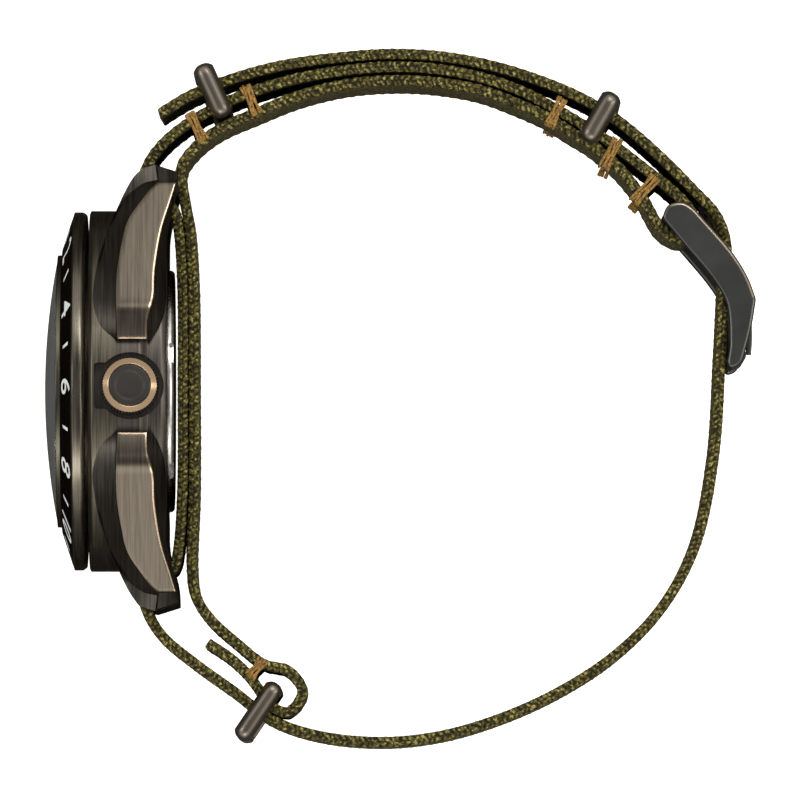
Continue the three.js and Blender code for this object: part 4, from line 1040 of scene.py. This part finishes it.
# stitches
stitch = {
    "strands": 5, "radius": 0.16, "spacing": 0.27, "order": (2, 0, 4, 1, 3),
    "inset": 0.09,
    # each tack goes from one point to the other past the strap's edge, and wraps both layers
    "tacks": [[(6.76, 32.3), (8.52, 28.9)], [(13.2, 35.5), (14.75, 32.0)], [(50.5, 34.0), (48.8, 30.6)],
              [(56.9, 29.3), (55.2, 25.6)], [(61.4, 24.9), (58.7, 21.7)], [(15.45, -31.7), (13.8, -33.8)]],
}


def tube(points, radius, sides=10):
    # a round thread along a closed line of points
    slope = np.roll(points, -1, 0) - np.roll(points, 1, 0)
    slope /= np.linalg.norm(slope, axis=1)[:, None]
    side = np.cross(slope, [0.31, 0.52, 0.79])
    side /= np.linalg.norm(side, axis=1)[:, None]
    up = np.cross(slope, side)
    angle = np.linspace(0, 2 * np.pi, sides, endpoint=False)[None, :, None]
    return points[:, None] + radius * (np.cos(angle) * side[:, None] + np.sin(angle) * up[:, None])


def tack(name, ends, high):
    # strands that change places on their way; each is a closed loop round both layers
    a, b = np.asarray(ends[0], float), np.asarray(ends[1], float)
    a, b = a + (b - a) * stitch["inset"], b + (a - b) * stitch["inset"]
    reachOver = (b - a) / np.linalg.norm(b - a)
    beside = np.array([-reachOver[1], reachOver[0]])
    points, faces, start = [], [], 0
    strands = stitch["strands"]
    for k in range(strands):
        shift = (k - (strands - 1) / 2) * stitch["spacing"]
        jitter = rng.normal(0, 0.05, 4)
        start2 = a + beside * (shift + jitter[0]) + reachOver * jitter[1]
        swap = (stitch["order"][k] - (strands - 1) / 2) * stitch["spacing"]
        stop2 = b + beside * (swap + jitter[2]) + reachOver * jitter[3]
        t = np.linspace(0, 1, 14)[:, None]
        over = np.concatenate([start2 + (stop2 - start2) * t, np.full((14, 1), high + 0.02)], 1)
        over[:, 2] += 0.1 * (k % 2) * np.sin(np.pi * t[:, 0]) - 0.16 * np.sin(np.pi * t[:, 0]) ** 4
        back = np.concatenate([stop2 + (start2 - stop2) * t, np.full((14, 1), high - 1.6)], 1)
        turn = np.linspace(0, np.pi, 8)[1:-1, None]
        level = high + 0.1 - 0.85 * (1 - np.cos(turn))
        out1 = np.concatenate([stop2 + reachOver * 0.22 * np.sin(turn), level], 1)
        out2 = np.concatenate([start2 - reachOver * 0.22 * np.sin(turn), level[::-1]], 1)
        loop = np.concatenate([over, out1, back, out2])
        ringPoints = tube(loop, stitch["radius"])
        points.append(ringPoints.reshape(-1, 3))
        faces += gridQuads(len(loop), 10, True, True, start).tolist()
        start += len(loop) * 10
    return fixNormals(putMesh(name, np.concatenate(points), faces))


# waxed thread: golden brown; a noise stands for the twists, with painted shade where its bump is low and a
# painted highlight where it is high
thread = Surface("thread", (0.35, 0.17, 0.03), 0.55, Sheen_Weight=0.1)
twistAndShade = ((thread.noise(4200, (1, 1, 1), 2) - 0.5) * 2.5 + 0.5).clamp(0, 1)
thread.set(Base_Color=thread.mix(twistAndShade, (0.05, 0.022, 0.003), (0.47, 0.26, 0.04)),
           Roughness=twistAndShade * 0.2 + 0.45)
thread.bump(twistAndShade, 0.00004, 0.7)
for number, ends in enumerate(stitch["tacks"]):
    for level, label in ((33.0, "Near"), (11.9 + 0.5, "Far")):
        made = tack("tack" + label + str(number), ends, level)
        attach(shade(made, thread), "watch")
print("stitches made")

# keepers
keepers = {
    "keeperTop": {"node": "keeper_top", "at": (9.35, 35.2), "across": (-0.415, 0.909), "out": 3.0,
                  "inn": 3.75, "width": 2.5},
    "keeperBuckle": {"node": "keeper_buckle", "at": (54.95, 31.95), "across": (0.5, 0.866), "out": 3.0,
                     "inn": 3.55, "width": 2.5},
    "keeperBottom": {"node": "keeper_bottom", "at": (14.85, -37.75), "across": (-0.56, -0.83),
                     "out": 3.9, "inn": 3.95, "width": 2.3},
}


def keeperRing(name, sizes):
    # a ring: round the loop goes a rounded rectangle, and at each place of it the section is
    # a bar with rounded corners, thicker on the two sides that stand beside the strap
    half = strap["width"] / 2 + 0.5 + 1.3
    loop = rounded([[-sizes["inn"], -half, 1.5], [sizes["out"], -half, 1.5], [sizes["out"], half, 1.5],
                    [-sizes["inn"], half, 1.5]], 12)
    extra = []
    for k in range(len(loop)):
        a, b = loop[k], loop[(k + 1) % len(loop)]
        pieces = max(int(np.linalg.norm(b - a) / 0.6), 1)
        extra.append(a + (b - a) * np.linspace(0, 1, pieces, endpoint=False)[:, None])
    loop = np.concatenate(extra)
    slope = np.roll(loop, -1, 0) - np.roll(loop, 1, 0)
    slope /= np.linalg.norm(slope, axis=1)[:, None]
    outward = np.stack([slope[:, 1], -slope[:, 0]], -1)
    thick = 0.75 + (1.3 - 0.75) * np.clip(np.abs(outward[:, 1]) * 1.6 - 0.3, 0, 1)
    w = sizes["width"] / 2
    bend = np.sin(np.linspace(-np.pi / 2, np.pi / 2, 17)) * w
    section = np.concatenate([np.stack([-0.85 * np.abs(bend / w) ** 2.6, bend], -1),
                              [[-0.9, w], [-1, w * 0.9], [-1, 0], [-1, -w * 0.9], [-0.9, -w]]])
    deep = section[:, 0][None] * thick[:, None]
    u = loop[:, :1] + outward[:, :1] * deep
    z = loop[:, 1:] + outward[:, 1:] * deep
    ax, ay = np.array(sizes["across"]) / np.hypot(*sizes["across"])
    wide = np.broadcast_to(section[:, 1], u.shape)
    x = sizes["at"][0] + ax * u + ay * wide
    y = sizes["at"][1] + ay * u - ax * wide
    piece = putMesh(name, np.stack([x, y, dialAxisHeight + z], -1),
                    gridQuads(len(loop), len(section), True, True))
    return setAngle(fixNormals(piece), 50)


for name, sizes in keepers.items():
    made = keeperRing(name, sizes)
    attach(shade(made, keeperSurface), "watch")
    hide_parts(sizes["node"])
print("keepers made")


# buckle
buckle = {
    "hinge": (63.75, 19.7), "hingeRadius": 1.0, "eyeletRadius": 2.05, "eyeletHalf": 1.3,
    "play": 0.15, "swing": 9,     # degrees, a little past the tongue's range
    "outerBar": (70.9, 3.9), "outerRadius": 0.95,
    "railLow": 33.3, "railThick": 1.7, "bevel": 0.42, "kink": 11.5,
    "rail": [[62.0, 19.9, 0.6], [62.6, 21.5, 0.9], [64.3, 21.9, 0.9], [65.6, 21.2, 0.8],
             [70.24, 16.0, 2], [72.1, 13.0, 1.5], [73.0, 10.4, 0.3], [72.5, 7.1, 2],
             [71.75, 4.3, 1], [71.3, 2.75, 0.8], [70.0, 2.2, 0.6], [69.55, 2.9, 0.5], [69.9, 4.8, 1],
             [69.85, 8.1, 2], [69.5, 10.4, 1.5], [67.7, 13.2, 3], [64.4, 17.0, 3], [62.5, 19.3, 0.6]],
    "tongue": [[64.6, 22.3], [65.6, 22.5], [66.7, 21.6], [67.1, 19.7], [68.2, 17.6], [70.2, 15.4],
               [71.6, 13], [72.2, 9.5], [72.4, 6.3], [72.35, 4.3]],
}


def roundBar(radius, middle, low, high, name, sides=64):
    angle = np.linspace(0, 2 * np.pi, sides, endpoint=False)
    return prism(name, np.stack([middle[0] + radius * np.cos(angle),
                                 middle[1] + radius * np.sin(angle)], -1), low, high)


def bevelled(outline, low, high, bevel, name):
    # the outline raised between two levels, with each edge rounded: rings step in from the
    # outline along its own slant while they step towards the face
    outline = np.asarray(outline, float)
    slope = np.roll(outline, -1, 0) - np.roll(outline, 1, 0)
    slope /= np.linalg.norm(slope, axis=1)[:, None]
    outward = np.stack([slope[:, 1], -slope[:, 0]], -1)
    area = np.sum(outline[:, 0] * np.roll(outline[:, 1], -1) - np.roll(outline[:, 0], -1) * outline[:, 1])
    outward *= np.sign(area)
    quarter = np.linspace(0, np.pi / 2, 5)
    inset = np.concatenate([bevel * (1 - np.sin(quarter)), bevel * (1 - np.cos(quarter))])
    level = np.concatenate([low + bevel * (1 - np.cos(quarter)), high - bevel * (1 - np.sin(quarter))])
    rows = [np.column_stack([outline - outward * i, np.full(len(outline), z)])
            for i, z in zip(inset, level)]
    n, m = len(outline), len(rows)
    faces = gridQuads(m, n, False, True).tolist() + [list(range(n))[::-1],
                                                     list(range((m - 1) * n, m * n))]
    piece = fixNormals(putMesh(name, np.concatenate(rows), faces))
    kinds = np.zeros(len(faces), int)
    # painted highlight along the edges that face up the strap
    highlightEdges = (outward @ [0.5, 0.87] > 0.35) & (outline[:, 1] > buckle["kink"])
    kinds[:9 * n] = np.tile(highlightEdges, 9)
    kinds[4 * n:5 * n] = 0
    return withKinds(piece, kinds[:len(piece.data.polygons)], (buckleSurface, bucklePaintedHighlight))


rail = rounded(buckle["rail"], 8)
low = buckle["railLow"]
near = bevelled(rail, low, low + buckle["railThick"], buckle["bevel"], "buckleFrame")
far = bevelled(rail, 2 * dialAxisHeight - low - buckle["railThick"], 2 * dialAxisHeight - low,
               buckle["bevel"], "farRail")
bar = withKinds(roundBar(buckle["outerRadius"], buckle["outerBar"], 10, 34, "outerBar"), 0,
                (buckleSurface, bucklePaintedHighlight))
near = join("buckleFrame", [near, far, bar])
setAngle(near, 40)
near.modifiers.new("smoothing", "WEIGHTED_NORMAL").keep_sharp = True
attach(near, "watch")
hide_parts("buckle_frame")

turn = np.linspace(0, 2 * np.pi, 64, endpoint=False)
pin = bevelled(np.stack([buckle["hinge"][0] + buckle["hingeRadius"] * np.cos(turn),
                         buckle["hinge"][1] + buckle["hingeRadius"] * np.sin(turn)], -1),
               2 * dialAxisHeight - 34.6, 34.6, 0.15, "hingeBar")
setAngle(pin, 40)
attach(pin, "watch")
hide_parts("buckle_hinge_bar")

# the tongue: its side view is the route thickened, narrowing to the tip, with an eye
line, at = spline(buckle["tongue"], 0.3)
slope = np.gradient(line, axis=0)
slope /= np.linalg.norm(slope, axis=1)[:, None]
sideways = np.stack([-slope[:, 1], slope[:, 0]], -1)
halfThick = np.interp(at / at[-1], [0, 0.9, 1], [0.4, 0.4, 0.3])[:, None]
tongueLine = np.concatenate([line + sideways * halfThick, (line - sideways * halfThick)[::-1]])
tongue = bevelled(tongueLine, 21.0, 23.0, 0.15, "tongue")
eye = withKinds(roundBar(1.75, buckle["hinge"], 21.0, 23.0, "eye"), 0, (buckleSurface, bucklePaintedHighlight))
hx, hy = buckle["hinge"]
neck = withKinds(prism("neck", [[hx - 0.2, hy], [hx + 0.9, hy], [hx + 1.1, hy + 3], [hx + 0.3, hy + 3]],
                       21.02, 22.98), 0, (buckleSurface, bucklePaintedHighlight))
eyeHole = withKinds(roundBar(1.1, buckle["hinge"], 15, 30, "eyeHole"), 0, (buckleSurface, bucklePaintedHighlight))
cut(tongue, [eye, neck], "UNION")
cut(tongue, [eyeHole], "DIFFERENCE")
setAngle(tongue, 35)
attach(tongue, "tongue")
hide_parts("buckle_tongue")

# the eyelet: the tongue with play round it, at three places of its swing, cut from the strap
eyeletLow, eyeletHigh = (dialAxisHeight + side * buckle["eyeletHalf"] for side in (-1, 1))
eyelet = roundBar(buckle["eyeletRadius"], buckle["hinge"], eyeletLow, eyeletHigh, "eyelet")
widened = sideways * (halfThick + buckle["play"])
widerBar = np.concatenate([line + widened, (line - widened)[::-1]])
widerNeck = np.array([[hx - 0.4, hy], [hx + 1.1, hy], [hx + 1.3, hy + 3.1], [hx + 0.1, hy + 3.1]])
for share in (0, 0.5, 1):
    turn = math.radians(buckle["swing"] * share)
    for shape in (widerBar, widerNeck):
        x, y = shape[:, 0] - hx, shape[:, 1] - hy
        spun = np.stack([x * math.cos(turn) - y * math.sin(turn) + hx,
                         x * math.sin(turn) + y * math.cos(turn) + hy], -1)
        cut(eyelet, [prism("swept", spun, eyeletLow, eyeletHigh)], "UNION")
faceCount = len(mainStrap.data.polygons)
cut(mainStrap, [shade(eyelet, nylon)], "DIFFERENCE")
print("eyelet cut:", faceCount, "faces to", len(mainStrap.data.polygons))
print("buckle made")


# carried-over pieces
brass = brushed("brass", (0.55, 0.38, 0.16), 0.3, (1, 0.05, 1))
springMetal = satin("spring steel", (0.3, 0.31, 0.33), 0.3)
steelNodes = ["train_bridge", "balance_cock", "barrel_arbor", "escape_wheel", "pallet_fork", "rotor_post",
              "rotor", "movement_holder", "sliding_pinion", "winding_stem", "crown_tube",
              "cannon_pinion"]
brassNodes = ["minute_wheel", "hour_wheel", "gmt_wheel", "mainplate", "barrel", "center_wheel",
              "third_wheel", "fourth_wheel", "balance_wheel"]
for names, surface in ((steelNodes, steelSatin), (brassNodes, brass),
                       (["mainspring", "spring_bar_12", "spring_bar_6", "bezel_click_ring"],
                        springMetal), (["crown_gasket", "back_gasket"], rubber)):
    for node in names:
        shade(nodes[node], surface)
print("inner pieces shaded")

# the CAD's box and this model's box, in metres
sizes = {"cad": [list(v) for v in cadBox], "visual": [list(v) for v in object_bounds()]}
